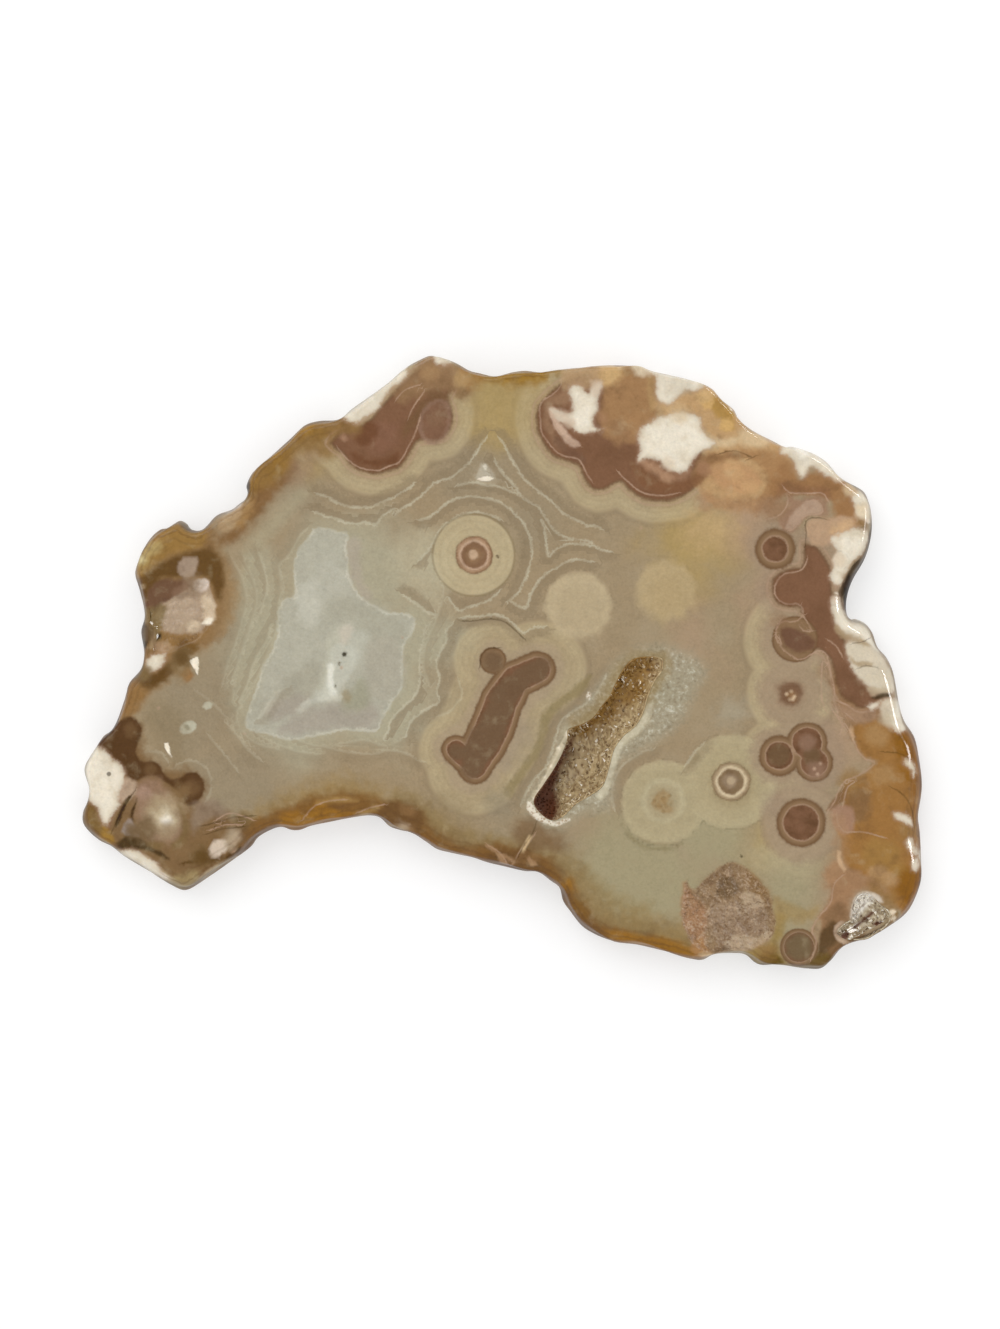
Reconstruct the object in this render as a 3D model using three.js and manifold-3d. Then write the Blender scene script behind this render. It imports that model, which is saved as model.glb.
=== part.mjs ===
// A polished slab of tube agate, lying flat: one stone with a rounded, lumpy rind,
// an open hollow and a broken corner pocket, each lined with a crust of quartz crystals.
// Units are millimetres. +Z points up out of the polished face, and the underside is at z = 0.

import * as THREE from 'three';
import { mergeVertices } from 'three/addons/utils/BufferGeometryUtils.js';
import Module from 'manifold-3d';

// Driving dimensions
const SLAB_LENGTH = 120;
const SLAB_THICKNESS = 7;
const WIDEST_HEIGHT = 2.2;
const UNDERSIDE_ROUNDING = 0.9;
const RIND_LUMP_DEPTH = 0.9;
const RIND_LUMP_SPACING = 5.5;
const LUMPS_START_WITHIN = 2;
const CRUST_CLEARANCE = 0.3;
const CRUST_THICKNESS = 0.7;
const CRUST_BELOW_FACE = 0.25;
const OUTLINE_STEPS = 260;
const SMOOTHING_STEPS = 6;
const SMOOTHING_SHARE = 0.3;

// Heights of the rings that build the rind, as turns of an elliptic shoulder from the widest ring up
const SHOULDER_DEGREES = [32, 58, 90];

// Outline of the slab in the photograph's pixels, anticlockwise from the top of its upper left peak
const OUTLINE_PX = [
  [431, 356], [420, 360], [404, 369.5], [386, 385], [364, 400.5], [350, 411], [344, 416.5], [337, 420],
  [321, 421], [305, 426], [290, 439.5], [270, 457.5], [257, 468.5], [251, 476], [247, 487], [249, 493],
  [247, 499], [240, 503.5], [233, 509], [221, 513.5], [215, 517.5], [203, 529.5], [197, 530.5], [191, 528.5],
  [188, 524], [181, 520.5], [175, 523.5], [168, 528], [162, 529], [155, 534], [149, 541], [144, 550],
  [137, 567], [136, 574], [140, 588], [144.5, 606], [145.5, 618], [142.5, 630], [144, 644], [145, 654],
  [142, 668], [131, 682], [125, 700], [117, 722], [112, 730], [105, 735], [98, 745], [87, 763],
  [86, 770], [91, 793], [87, 804], [84, 811], [84, 819], [87, 826], [100, 839], [112, 845],
  [125, 855], [155, 873], [178, 887], [184, 889], [190, 888], [212, 874], [232, 860], [252, 845],
  [259, 836], [276, 827], [283, 826], [292, 829], [300, 829], [311, 825], [330, 821], [350, 817],
  [370, 814.5], [380, 816.5], [390, 825.5], [400, 829], [413, 832], [426, 840.5], [437, 848], [450, 851.5],
  [475, 857], [487, 861], [507, 866], [525, 870], [538, 871], [551, 880], [559, 886], [563, 900],
  [570, 910], [581, 924], [590, 930.5], [610, 939], [635, 943], [665, 950], [690, 957], [702, 958.5],
  [713, 953], [735, 951.5], [745, 953.5], [754, 961], [760, 963.5], [780, 963], [805, 967], [820, 967],
  [829, 960], [840, 947], [848, 942.5], [870, 935.5], [888, 925], [905, 912], [914, 897], [919, 880],
  [920, 860], [918.5, 830], [917, 815], [920, 795], [920.8, 782], [918, 758], [913, 736], [903, 720],
  [898, 703], [893, 677], [886, 658], [876, 646], [871, 632], [864, 623], [854, 618.5], [848.5, 619],
  [845, 610], [846, 595], [852, 579], [863, 560], [868.5, 544], [871, 524], [869, 507], [863, 492],
  [850, 484], [839.5, 478], [825.5, 462], [815, 455], [803, 450], [790, 446.5], [785, 447], [770, 440],
  [752, 431], [739, 421], [733, 410], [720, 400], [711, 390], [695, 382], [675, 376.5], [647, 371],
  [640, 367.5], [615, 365.5], [592, 367], [567, 369], [541, 372.5], [525, 371], [512, 372.5], [495, 376.5],
  [480, 373.5], [470, 371.5], [457, 364.5], [443, 359],
];

// How wide the rounded shoulder of the face is, in millimetres, near places on the outline in pixels
const SHOULDERS = [
  { at: [431, 356], width: 1.0 },
  { at: [290, 440], width: 1.2 },
  { at: [150, 540], width: 1.6 },
  { at: [145, 640], width: 2.2 },
  { at: [105, 740], width: 1.2 },
  { at: [86, 815], width: 1.6 },
  { at: [150, 870], width: 2.6 },
  { at: [240, 850], width: 1.3 },
  { at: [380, 817], width: 1.2 },
  { at: [520, 869], width: 1.3 },
  { at: [640, 944], width: 1.1 },
  { at: [735, 952], width: 1.4 },
  { at: [820, 967], width: 1.3 },
  { at: [905, 910], width: 2.2 },
  { at: [920, 800], width: 3.0 },
  { at: [890, 670], width: 2.6 },
  { at: [846, 600], width: 2.4 },
  { at: [868, 520], width: 1.8 },
  { at: [800, 450], width: 1.3 },
  { at: [640, 369], width: 1.0 },
];

// The hollows in the polished face: edge and valley line in pixels, depths along the valley in millimetres
const VUG = {
  edge: [
    [533, 799], [543, 782], [553, 767], [561, 752], [566, 738], [567, 728], [580, 723], [592, 716],
    [600, 705], [608, 695], [613, 684], [621, 669], [630, 659], [645, 656], [660, 658], [661, 668],
    [652, 682], [646, 697], [642, 711], [634, 725], [622, 735], [613, 748], [608, 766], [601, 785],
    [587, 795], [574, 803], [563, 814], [552, 818], [540, 811],
  ],
  valley: [[543, 803], [556, 778], [568, 752], [590, 729], [610, 706], [628, 682], [644, 667]],
  depths: [3.2, 4.8, 5.0, 4.4, 3.4, 3.0, 1.8],
  undercut: 0.9,
  edgeSteps: 44,
};
const CORNER_POCKET = {
  edge: [
    [848, 902], [852, 893], [860, 889], [868, 893], [876, 901], [884, 907], [886, 914], [882, 922],
    [872, 929], [862, 935], [850, 936], [838, 934], [832, 928], [838, 920], [846, 915],
  ],
  valley: [[842, 928], [858, 918], [868, 908]],
  depths: [1.6, 2.6, 2.0],
  undercut: 0,
  edgeSteps: 24,
};

// Places where the stone is worn rough and dished, with no crystals standing in them
const DISHES = [
  {
    edge: [
      [681, 920], [679, 898], [685, 877], [703, 868], [727, 860], [746, 868], [764, 886], [771, 908],
      [767, 929], [745, 942], [716, 949], [693, 944],
    ],
    valley: [[705, 905], [725, 900], [745, 915]],
    depths: [0.5, 0.6, 0.5],
    undercut: 0,
    edgeSteps: 20,
  },
  {
    edge: [
      [157, 600], [166, 584], [184, 580], [203, 584], [214, 600], [216, 622], [205, 640], [186, 646],
      [166, 638], [157, 620],
    ],
    valley: [[176, 604], [188, 616], [196, 626]],
    depths: [0.6, 0.8, 0.6],
    undercut: 0,
    edgeSteps: 16,
  },
];

// The crystals of each crust, in millimetres: width, spacing and how far a point stands up
const VUG_CRYSTALS = { seed: 11, width: 1.9, spacing: 2.0, point: 1.4, lean: 0.55 };
const CORNER_CRYSTALS = { seed: 23, width: 1.25, spacing: 1.45, point: 0.8, lean: 0.5 };

const wasm = await Module();
wasm.setup();

// A repeatable stream of numbers between 0 and 1
function seededNumbers(seed) {
  let state = seed;
  return () => {
    state = (state * 16807) % 2147483647;
    return state / 2147483647;
  };
}

// A smooth closed curve through points given in pixels, as evenly spaced points
function closedCurve(points, steps) {
  const curve = new THREE.CatmullRomCurve3(points.map(([x, y]) => new THREE.Vector3(x, -y, 0)), true, 'centripetal');
  return curve.getSpacedPoints(steps).slice(0, steps);
}

// The photograph's pixels become millimetres here: the outline's box is centred and its length is SLAB_LENGTH
const outlineInPixels = closedCurve(OUTLINE_PX, OUTLINE_STEPS);
const outlineBox = new THREE.Box3().setFromPoints(outlineInPixels);
const outlineCentre = outlineBox.getCenter(new THREE.Vector3());
const MM_PER_PIXEL = SLAB_LENGTH / (outlineBox.max.x - outlineBox.min.x);

function toPlan(point) {
  return point.clone().sub(outlineCentre).multiplyScalar(MM_PER_PIXEL);
}

function planPoint([x, y]) {
  return toPlan(new THREE.Vector3(x, -y, 0));
}

function planCurve(points, steps) {
  return closedCurve(points, steps).map(toPlan);
}

// Shoulder width at a point of the outline: a blend of the nearest named widths
function shoulderWidth(point) {
  let total = 0;
  let weights = 0;
  for (const { at, width } of SHOULDERS) {
    const weight = 1 / (planPoint(at).distanceToSquared(point) + 9) ** 1.5;
    total += weight * width;
    weights += weight;
  }
  return total / weights;
}

// Height and shape of the rind's low lumps: 0 in the hollows between them, 1 on top
function lumpHeight({ x, y }, z) {
  const turn = (2 * Math.PI) / RIND_LUMP_SPACING;
  const along = Math.sin(turn * (0.8 * x + 0.5 * y) + 1.1 * Math.sin(0.3 * y) + 0.5 * z);
  const across = Math.sin(turn * (0.7 * y - 0.4 * x) + 1.3 * Math.sin(0.2 * x) - 0.6 * z);
  return 0.5 + 0.25 * (along + across);
}

// A ring inside another one, moved in by its own distance at each point, and smoothed so that it can't cross itself
function insetRing(ring, distances) {
  let points = ring.map((point) => point.clone());
  for (let step = 0; step < SMOOTHING_STEPS; step += 1) {
    const count = points.length;
    points = points.map((point, i) => {
      const before = points[(i + count - 1) % count];
      const after = points[(i + 1) % count];
      const along = after.clone().sub(before).normalize();
      const inward = new THREE.Vector3(-along.y, along.x, 0);
      const between = before.clone().add(after).multiplyScalar(0.5);
      const softening = Math.min(SMOOTHING_SHARE, SMOOTHING_SHARE * distances[i]);
      return point.clone().lerp(between, softening).addScaledVector(inward, distances[i] / SMOOTHING_STEPS);
    });
  }
  return points;
}

// A closed surface from rings of equal length, lowest first, each anticlockwise seen from above
function ringsToGeometry(rings) {
  const count = rings[0].length;
  const positions = [];
  const triangles = [];
  for (const ring of rings) {
    for (const point of ring) {
      positions.push(point.x, point.y, point.z);
    }
  }
  for (let level = 0; level + 1 < rings.length; level += 1) {
    for (let i = 0; i < count; i += 1) {
      const low = level * count + i;
      const lowNext = level * count + ((i + 1) % count);
      triangles.push(low, lowNext, lowNext + count);
      triangles.push(low, lowNext + count, low + count);
    }
  }
  const lowest = rings[0].map((point) => new THREE.Vector2(point.x, point.y));
  const highest = rings.at(-1).map((point) => new THREE.Vector2(point.x, point.y));
  const topStart = (rings.length - 1) * count;
  for (const [a, b, c] of THREE.ShapeUtils.triangulateShape(lowest, [])) {
    triangles.push(c, b, a);
  }
  for (const [a, b, c] of THREE.ShapeUtils.triangulateShape(highest, [])) {
    triangles.push(topStart + a, topStart + b, topStart + c);
  }
  const geometry = new THREE.BufferGeometry();
  geometry.setAttribute('position', new THREE.Float32BufferAttribute(positions, 3));
  geometry.setIndex(triangles);
  return geometry;
}

function toSolid(geometry) {
  const bare = geometry.clone();
  bare.deleteAttribute('normal');
  bare.deleteAttribute('uv');
  const merged = mergeVertices(bare);
  return new wasm.Manifold(new wasm.Mesh({
    numProp: 3,
    vertProperties: new Float32Array(merged.attributes.position.array),
    triVerts: new Uint32Array(merged.index.array),
  }));
}

function toGeometry(solid) {
  const mesh = solid.getMesh();
  const geometry = new THREE.BufferGeometry();
  geometry.setAttribute('position', new THREE.BufferAttribute(mesh.vertProperties, 3));
  geometry.setIndex(new THREE.BufferAttribute(mesh.triVerts, 1));
  geometry.computeVertexNormals();
  return geometry;
}

// The slab without its hollows: rounded underside, widest low on the rind, wide shoulder up to the face
function slabBlank() {
  const widest = planCurve(OUTLINE_PX, OUTLINE_STEPS);
  const shoulders = widest.map(shoulderWidth);
  const levels = [
    { z: 0, inset: () => UNDERSIDE_ROUNDING },
    { z: UNDERSIDE_ROUNDING * 0.45, inset: () => UNDERSIDE_ROUNDING * 0.3 },
    { z: WIDEST_HEIGHT, inset: () => 0 },
  ];
  for (const degrees of SHOULDER_DEGREES) {
    const turn = THREE.MathUtils.degToRad(degrees);
    levels.push({
      z: WIDEST_HEIGHT + (SLAB_THICKNESS - WIDEST_HEIGHT) * Math.sin(turn),
      inset: (width) => width * (1 - Math.cos(turn)),
    });
  }
  const rings = levels.map(({ z, inset }) => {
    const lumpShare = Math.min(1, Math.abs(z - WIDEST_HEIGHT) / LUMPS_START_WITHIN);
    const distances = widest.map((point, i) => {
      const dent = RIND_LUMP_DEPTH * lumpShare * (1 - lumpHeight(point, z));
      return inset(shoulders[i]) + dent;
    });
    const ring = z === WIDEST_HEIGHT ? widest : insetRing(widest, distances);
    return ring.map((point) => new THREE.Vector3(point.x, point.y, z));
  });
  return toSolid(ringsToGeometry(rings));
}

// The nearest place on a hollow's valley line, with the depth there
function valleyAt(hollow, point) {
  const curve = new THREE.CatmullRomCurve3(hollow.valley.map(planPoint));
  const samples = 60;
  let nearest = null;
  for (let i = 0; i <= samples; i += 1) {
    const along = i / samples;
    const place = curve.getPoint(along);
    const distance = place.distanceTo(point);
    if (nearest === null || distance < nearest.distance) {
      const station = along * (hollow.depths.length - 1);
      const before = Math.min(Math.floor(station), hollow.depths.length - 2);
      const depth = THREE.MathUtils.lerp(hollow.depths[before], hollow.depths[before + 1], station - before);
      nearest = { place, distance, depth };
    }
  }
  return nearest;
}

// A hollow's walls run from its edge down to the valley: share of the way out, and share of the depth
const HOLLOW_PROFILE = [
  { out: 0.12, down: 1.0, undercut: 0 },
  { out: 0.5, down: 0.9, undercut: 0.2 },
  { out: 0.8, down: 0.62, undercut: 0.8 },
  { out: 0.97, down: 0.22, undercut: 0.6 },
  { out: 1.0, down: 0, undercut: 0 },
];
const STEEP_WALL_REACH = 3;

// The space of a hollow as a solid, kept a clearance inside its walls, up to a given height
function hollowSolid(hollow, clearance, top) {
  const edge = planCurve(hollow.edge, hollow.edgeSteps);
  const nearest = edge.map((point) => valleyAt(hollow, point));
  const anticlockwise = THREE.ShapeUtils.area(edge) > 0;
  const rings = HOLLOW_PROFILE.map(({ out, down, undercut }) => edge.map((point, i) => {
    const { place, distance, depth } = nearest[i];
    const outward = point.clone().sub(place).normalize();
    const steep = Math.max(0, 1 - distance / STEEP_WALL_REACH);
    const reach = distance * out + hollow.undercut * undercut * steep - clearance * Math.min(1, out * 2);
    const spot = place.clone().addScaledVector(outward, Math.max(reach, 0.05));
    const z = SLAB_THICKNESS - down * (depth - clearance);
    return new THREE.Vector3(spot.x, spot.y, Math.min(z, top - 0.02));
  }));
  rings.push(rings.at(-1).map((point) => new THREE.Vector3(point.x, point.y, top)));
  if (!anticlockwise) {
    rings.forEach((ring) => ring.reverse());
  }
  return toSolid(ringsToGeometry(rings));
}

// One quartz crystal: six sides, a short prism and a six-sided point
function crystal(width, prism, point) {
  const profile = [
    new THREE.Vector2(0, 0),
    new THREE.Vector2(width / 2, 0),
    new THREE.Vector2(width / 2, prism),
    new THREE.Vector2(0, prism + point),
  ];
  return new THREE.LatheGeometry(profile, 6);
}

function insidePolygon(polygon, { x, y }) {
  let inside = false;
  polygon.forEach((a, i) => {
    const b = polygon[(i + 1) % polygon.length];
    if (a.y > y !== b.y > y && x < ((b.x - a.x) * (y - a.y)) / (b.y - a.y) + a.x) {
      inside = !inside;
    }
  });
  return inside;
}

// Depth of a hollow's floor under a point, from its distance to the valley and to the edge
function floorDepth(hollow, edge, point) {
  const { distance, depth } = valleyAt(hollow, point);
  const toEdge = Math.min(...edge.map((place) => place.distanceTo(point)));
  const out = distance / (distance + toEdge);
  const stations = HOLLOW_PROFILE;
  for (let i = 0; i + 1 < stations.length; i += 1) {
    if (out <= stations[i + 1].out) {
      const share = Math.max(0, (out - stations[i].out) / (stations[i + 1].out - stations[i].out));
      return depth * THREE.MathUtils.lerp(stations[i].down, stations[i + 1].down, share);
    }
  }
  return 0;
}

// The crust of a hollow: crystals that stand on its floor and lean into the open, joined in one solid
function crystalCrust(hollow, { seed, width, spacing, point, lean }) {
  const random = seededNumbers(seed);
  const edge = planCurve(hollow.edge, hollow.edgeSteps);
  const box = new THREE.Box3().setFromPoints(edge);
  const room = hollowSolid(hollow, CRUST_CLEARANCE, SLAB_THICKNESS - CRUST_BELOW_FACE);
  const raised = { ...hollow, depths: hollow.depths.map((depth) => depth - CRUST_THICKNESS) };
  const above = hollowSolid(raised, CRUST_CLEARANCE + CRUST_THICKNESS / 2, SLAB_THICKNESS + 1);
  let crust = room.subtract(above);
  for (let row = 0; box.min.y + row * spacing < box.max.y; row += 1) {
    for (let column = 0; box.min.x + column * spacing < box.max.x; column += 1) {
      const stagger = (row % 2) * 0.5;
      const place = new THREE.Vector3(
        box.min.x + (column + stagger + 0.6 * (random() - 0.5)) * spacing,
        box.min.y + (row + 0.6 * (random() - 0.5)) * spacing,
        0,
      );
      const size = width * (0.75 + 0.5 * random());
      const tall = point * (0.7 + 0.6 * random());
      const turn = random() * Math.PI;
      const tilt = new THREE.Vector3(random() - 0.5, random() - 0.5, 0).multiplyScalar(0.5);
      if (!insidePolygon(edge, place)) {
        continue;
      }
      const towardsValley = valleyAt(hollow, place).place.sub(place).multiplyScalar(lean / 2);
      const direction = new THREE.Vector3(0, 0, 1).add(tilt).add(towardsValley.clampLength(0, lean)).normalize();
      const base = SLAB_THICKNESS - floorDepth(hollow, edge, place);
      const geometry = crystal(size, CRUST_THICKNESS + 0.5, tall);
      geometry.rotateX(Math.PI / 2);
      geometry.rotateZ(turn);
      geometry.applyQuaternion(new THREE.Quaternion().setFromUnitVectors(new THREE.Vector3(0, 0, 1), direction));
      geometry.translate(place.x, place.y, base);
      crust = crust.add(toSolid(geometry));
    }
  }
  return crust.intersect(room);
}

function stoneMesh(name, solid, colour, roughness) {
  const material = new THREE.MeshStandardMaterial({ color: colour, roughness, metalness: 0 });
  const mesh = new THREE.Mesh(toGeometry(solid), material);
  mesh.name = name;
  return mesh;
}

// The hollows are cut out of the slab, and their crusts stand in them
const ABOVE_FACE = SLAB_THICKNESS + 1;
let slab = slabBlank();
for (const hollow of [VUG, CORNER_POCKET, ...DISHES]) {
  slab = slab.subtract(hollowSolid(hollow, 0, ABOVE_FACE));
}

const agate = new THREE.Group();
agate.add(stoneMesh('agate_slab', slab, '#a6987b', 0.15));
agate.add(stoneMesh('vug_crystals', crystalCrust(VUG, VUG_CRYSTALS), '#93724a', 0.35));
agate.add(stoneMesh('corner_crystals', crystalCrust(CORNER_POCKET, CORNER_CRYSTALS), '#d8cbb6', 0.35));

export default agate;
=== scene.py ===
"""A tumble-polished slab of tube agate: its banded stone, its two crusts of quartz crystals, and the stage."""

import math

import bmesh
import bpy
import numpy as np
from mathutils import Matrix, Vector, noise
from mathutils.geometry import delaunay_2d_cdt


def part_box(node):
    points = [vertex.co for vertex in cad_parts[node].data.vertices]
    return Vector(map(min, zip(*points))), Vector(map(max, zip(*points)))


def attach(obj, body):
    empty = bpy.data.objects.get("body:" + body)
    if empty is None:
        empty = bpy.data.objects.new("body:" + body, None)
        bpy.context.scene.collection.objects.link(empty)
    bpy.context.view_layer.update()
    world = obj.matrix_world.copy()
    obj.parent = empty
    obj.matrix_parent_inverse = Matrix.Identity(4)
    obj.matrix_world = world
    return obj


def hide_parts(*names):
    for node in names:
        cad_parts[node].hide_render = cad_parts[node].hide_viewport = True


bl_info = {
    "name": "Polished agate slab",
    "version": (1, 0, 0),
    "blender": (4, 5, 0),
    "location": "3D View > Sidebar > Agate",
    "description": "Builds a tumble-polished slab of tube agate with crystal-lined hollows",
    "category": "Object",
}

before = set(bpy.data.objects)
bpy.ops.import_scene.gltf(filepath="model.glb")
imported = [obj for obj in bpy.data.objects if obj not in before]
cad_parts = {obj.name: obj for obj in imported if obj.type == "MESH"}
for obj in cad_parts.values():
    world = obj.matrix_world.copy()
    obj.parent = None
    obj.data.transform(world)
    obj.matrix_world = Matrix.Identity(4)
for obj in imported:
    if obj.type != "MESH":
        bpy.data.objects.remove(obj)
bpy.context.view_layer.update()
MM = 0.001
BODY = "root"

# Shapes below are drawn paths, "x,y x,y ...", in the photograph's pixels (x right, y down), unless their name
# ends in _MM. Paths are parted by ";". A disc is "x,y,radius".

OUTLINE_PX = """
    431,356 420,360 404,369.5 386,385 364,400.5 350,411 344,416.5 337,420 321,421 305,426 290,439.5
    270,457.5 257,468.5 251,476 247,487 249,493 247,499 240,503.5 233,509 221,513.5 215,517.5 203,529.5
    197,530.5 191,528.5 188,524 181,520.5 175,523.5 168,528 162,529 155,534 149,541 144,550 137,567 136,574
    140,588 144.5,606 145.5,618 142.5,630 144,644 145,654 142,668 131,682 125,700 117,722 112,730 105,735
    98,745 87,763 86,770 91,793 87,804 84,811 84,819 87,826 100,839 112,845 125,855 155,873 178,887 184,889
    190,888 212,874 232,860 252,845 259,836 276,827 283,826 292,829 300,829 311,825 330,821 350,817
    370,814.5 380,816.5 390,825.5 400,829 413,832 426,840.5 437,848 450,851.5 475,857 487,861 507,866
    525,870 538,871 551,880 559,886 563,900 570,910 581,924 590,930.5 610,939 635,943 665,950 690,957
    702,958.5 713,953 735,951.5 745,953.5 754,961 760,963.5 780,963 805,967 820,967 829,960 840,947
    848,942.5 870,935.5 888,925 905,912 914,897 919,880 920,860 918.5,830 917,815 920,795 920.8,782 918,758
    913,736 903,720 898,703 893,677 886,658 876,646 871,632 864,623 854,618.5 848.5,619 845,610 846,595
    852,579 863,560 868.5,544 871,524 869,507 863,492 850,484 839.5,478 825.5,462 815,455 803,450 790,446.5
    785,447 770,440 752,431 739,421 733,410 720,400 711,390 695,382 675,376.5 647,371 640,367.5 615,365.5
    592,367 567,369 541,372.5 525,371 512,372.5 495,376.5 480,373.5 470,371.5 457,364.5 443,359
"""

# Width in millimetres of the rounded shoulder round the face, and strength of the painted shade on the rim, near places
# on the outline: "x,y,value"
SHOULDERS_MM = """
    431,356,0.5 290,440,0.7 150,540,1 145,640,1.2 105,740,0.8 86,815,1 150,870,1.5 240,850,0.8 380,817,0.6
    520,869,0.6 640,944,0.7 735,952,0.7 820,967,0.8 905,910,1.6 920,800,2.4 890,670,1.8 846,600,2
    868,520,1.3 800,450,0.8 640,369,0.5
"""
# Painted shade on the rim: strongest where the rim faces away from the light, weakest along the lit top and upper right
RIM_SHADES = """
    431,356,0.5 290,440,0.9 240,500,1 150,540,1 145,640,1 105,740,1 86,815,1 150,870,1 240,850,0.9
    330,820,0.5 400,830,0.4 520,869,0.5 570,905,0.5 640,944,0.6 735,952,0.6 820,967,0.7 905,910,1 920,800,1
    890,670,0.7 846,600,0.9 868,520,0.9 800,450,0.3 700,385,0.2 640,369,0.3 560,370,0.6 500,376,0.6
"""

# Hollows: edge and valley line, with depths along the valley and the reach of its undercut in millimetres
VUG = {
    "edge": """
    533,799 543,782 553,767 561,752 566,738 567,728 580,723 592,716 600,705 608,695 613,684 621,669 630,659
    645,656 660,658 661,668 652,682 646,697 642,711 634,725 622,735 613,748 608,766 601,785 587,795 574,803
    563,814 552,818 540,811
""",
    "valley": "543,803 556,778 568,752 590,729 610,706 628,682 644,667",
    "depths_mm": [3.2, 4.8, 5.0, 4.4, 3.4, 3.0, 1.8],
    "undercut_mm": 0.9,
    "edge_points": 190,
}
CORNER_POCKET = {
    "edge": """
    848,902 852,893 860,889 868,893 876,901 884,907 886,914 882,922 872,929 862,935 850,936 838,934 832,928
    838,920 846,915
""",
    "valley": "842,928 858,918 868,908",
    "depths_mm": [1.6, 2.6, 2.0],
    "undercut_mm": 0.0,
    "edge_points": 90,
}

# Worn dishes in the face, as (edge, depth in millimetres, depth of its lumps)
ROUGH_PATCH = """
    684,876 690,886 702,876 714,866 728,859 742,864 754,876 766,890 770,906 772,920 767,932 754,942 738,947
    722,949 706,950 694,944 684,930 679,912 680,894
"""
LEFT_DISH = """
    148,612 158,607 166,599 178,595 192,590 196,584 204,579 213,581 215,590 219,602 218,612 216,621 212,628
    206,635 198,642 186,646 178,652 166,654 156,650 160,638 158,628 150,620
"""
DISHES_MM = [(ROUGH_PATCH, 0.4, 0.36), (LEFT_DISH, 0.5, 0.3)]
DISH_WALL_MM = 0.7

# Tubes cut across: chains of discs, and how far inside its edge the pale line of each one runs
TUBES = {
    "upper_eye": ("474.8,556,17.2", 3.7),
    "bone": ("537,669,18 514.5,679.5,19 501.5,700.5,21.5 491.5,728,22.5 483,745,22 475,765,17", 5.5),
    "bone_knob": ("456.5,748,14.5 466,757,14", 5),
    "pair_left": ("775.5,754,20", 6),
    "pair_upper": ("803,741,20", 5),
    "pair_lower": ("810,761,18.5", 5),
    "round_low": ("797,820,24", 6),
    "round_bottom": ("795,943,18.5", 3.5),
    "round_high": ("771.5,550,20", 7),
}
# Tubes with no pale line round their core, and one that only its halos are drawn from
PLAIN_TUBES = {"hook": "791,639,22.5", "bone_neighbour": "493,660,13"}
HALO_SEEDS = {"speckled": "786.5,692.5,13"}

# Mauve-brown lobes of the rind
LOBES = {
    "top_left": """
    333,445 345,455 352,465 362,472 378,475 392,472 402,467 409,458 417,444 430,441 443,439 451,428 452,414
    447,402 452,390 450,376 440,366 420,374 408,384 397,394 388,404 378,416 366,428 352,434 340,438
""",
    "top": """
    574,382 560,389 546,400 538,411 537,428 543,444 553,457 568,463 578,468 584,480 593,490 603,490 613,484
    620,482 628,491 640,499 658,502 676,499 690,490 700,478 704,462 694,452 672,440 650,430 630,420 612,404
    598,388
""",
    "right": """
    801,546 812,549 820,560 826,570 826,585 828,602 830,622 838,638 844,652 850,668 862,682 876,694 866,704
    856,706 846,700 838,696 832,680 830,668 824,655 814,648 806,648 800,652 806,640 806,630 800,618 796,606
    785,606 774,602 769,590 772,578 784,571 798,568 801,556
""",
}

# A halo as a disc with a thin dark edge, and bands that reach round tubes and lobes
CREAM_DISCS = "474,556,39.5"
BEIGE_REACH = {
    "bone": 30, "bone_knob": 22, "bone_neighbour": 26, "top_left": 22, "top": 22, "hook": 28,
    "speckled": 30, "pair_left": 18, "round_low": 12,
}
LAVENDER_REACH = {
    "pair_left": 9, "pair_upper": 12, "pair_lower": 12, "round_low": 16, "speckled": 20, "hook": 12,
    "round_high": 8, "right": 16,
}

# The heart of the agate, where the last grey chalcedony closed it
POOL = """
    320,530 331,531 341,534 350,536 348,545 349,560 350,575 356,589 366,601 376,607 388,613 404,614 412,616
    416,622 413,632 406,641 403,655 403,675 401,690 394,698 389,709 382,718 379,729 366,729 348,728 330,732
    310,735 298,738 284,736 268,731 251,727 250,719 254,706 260,688 266,668 276,650 281,632 282,612 287,600
    297,598 297,575 298,562 303,549 311,540 315,532
"""

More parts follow.
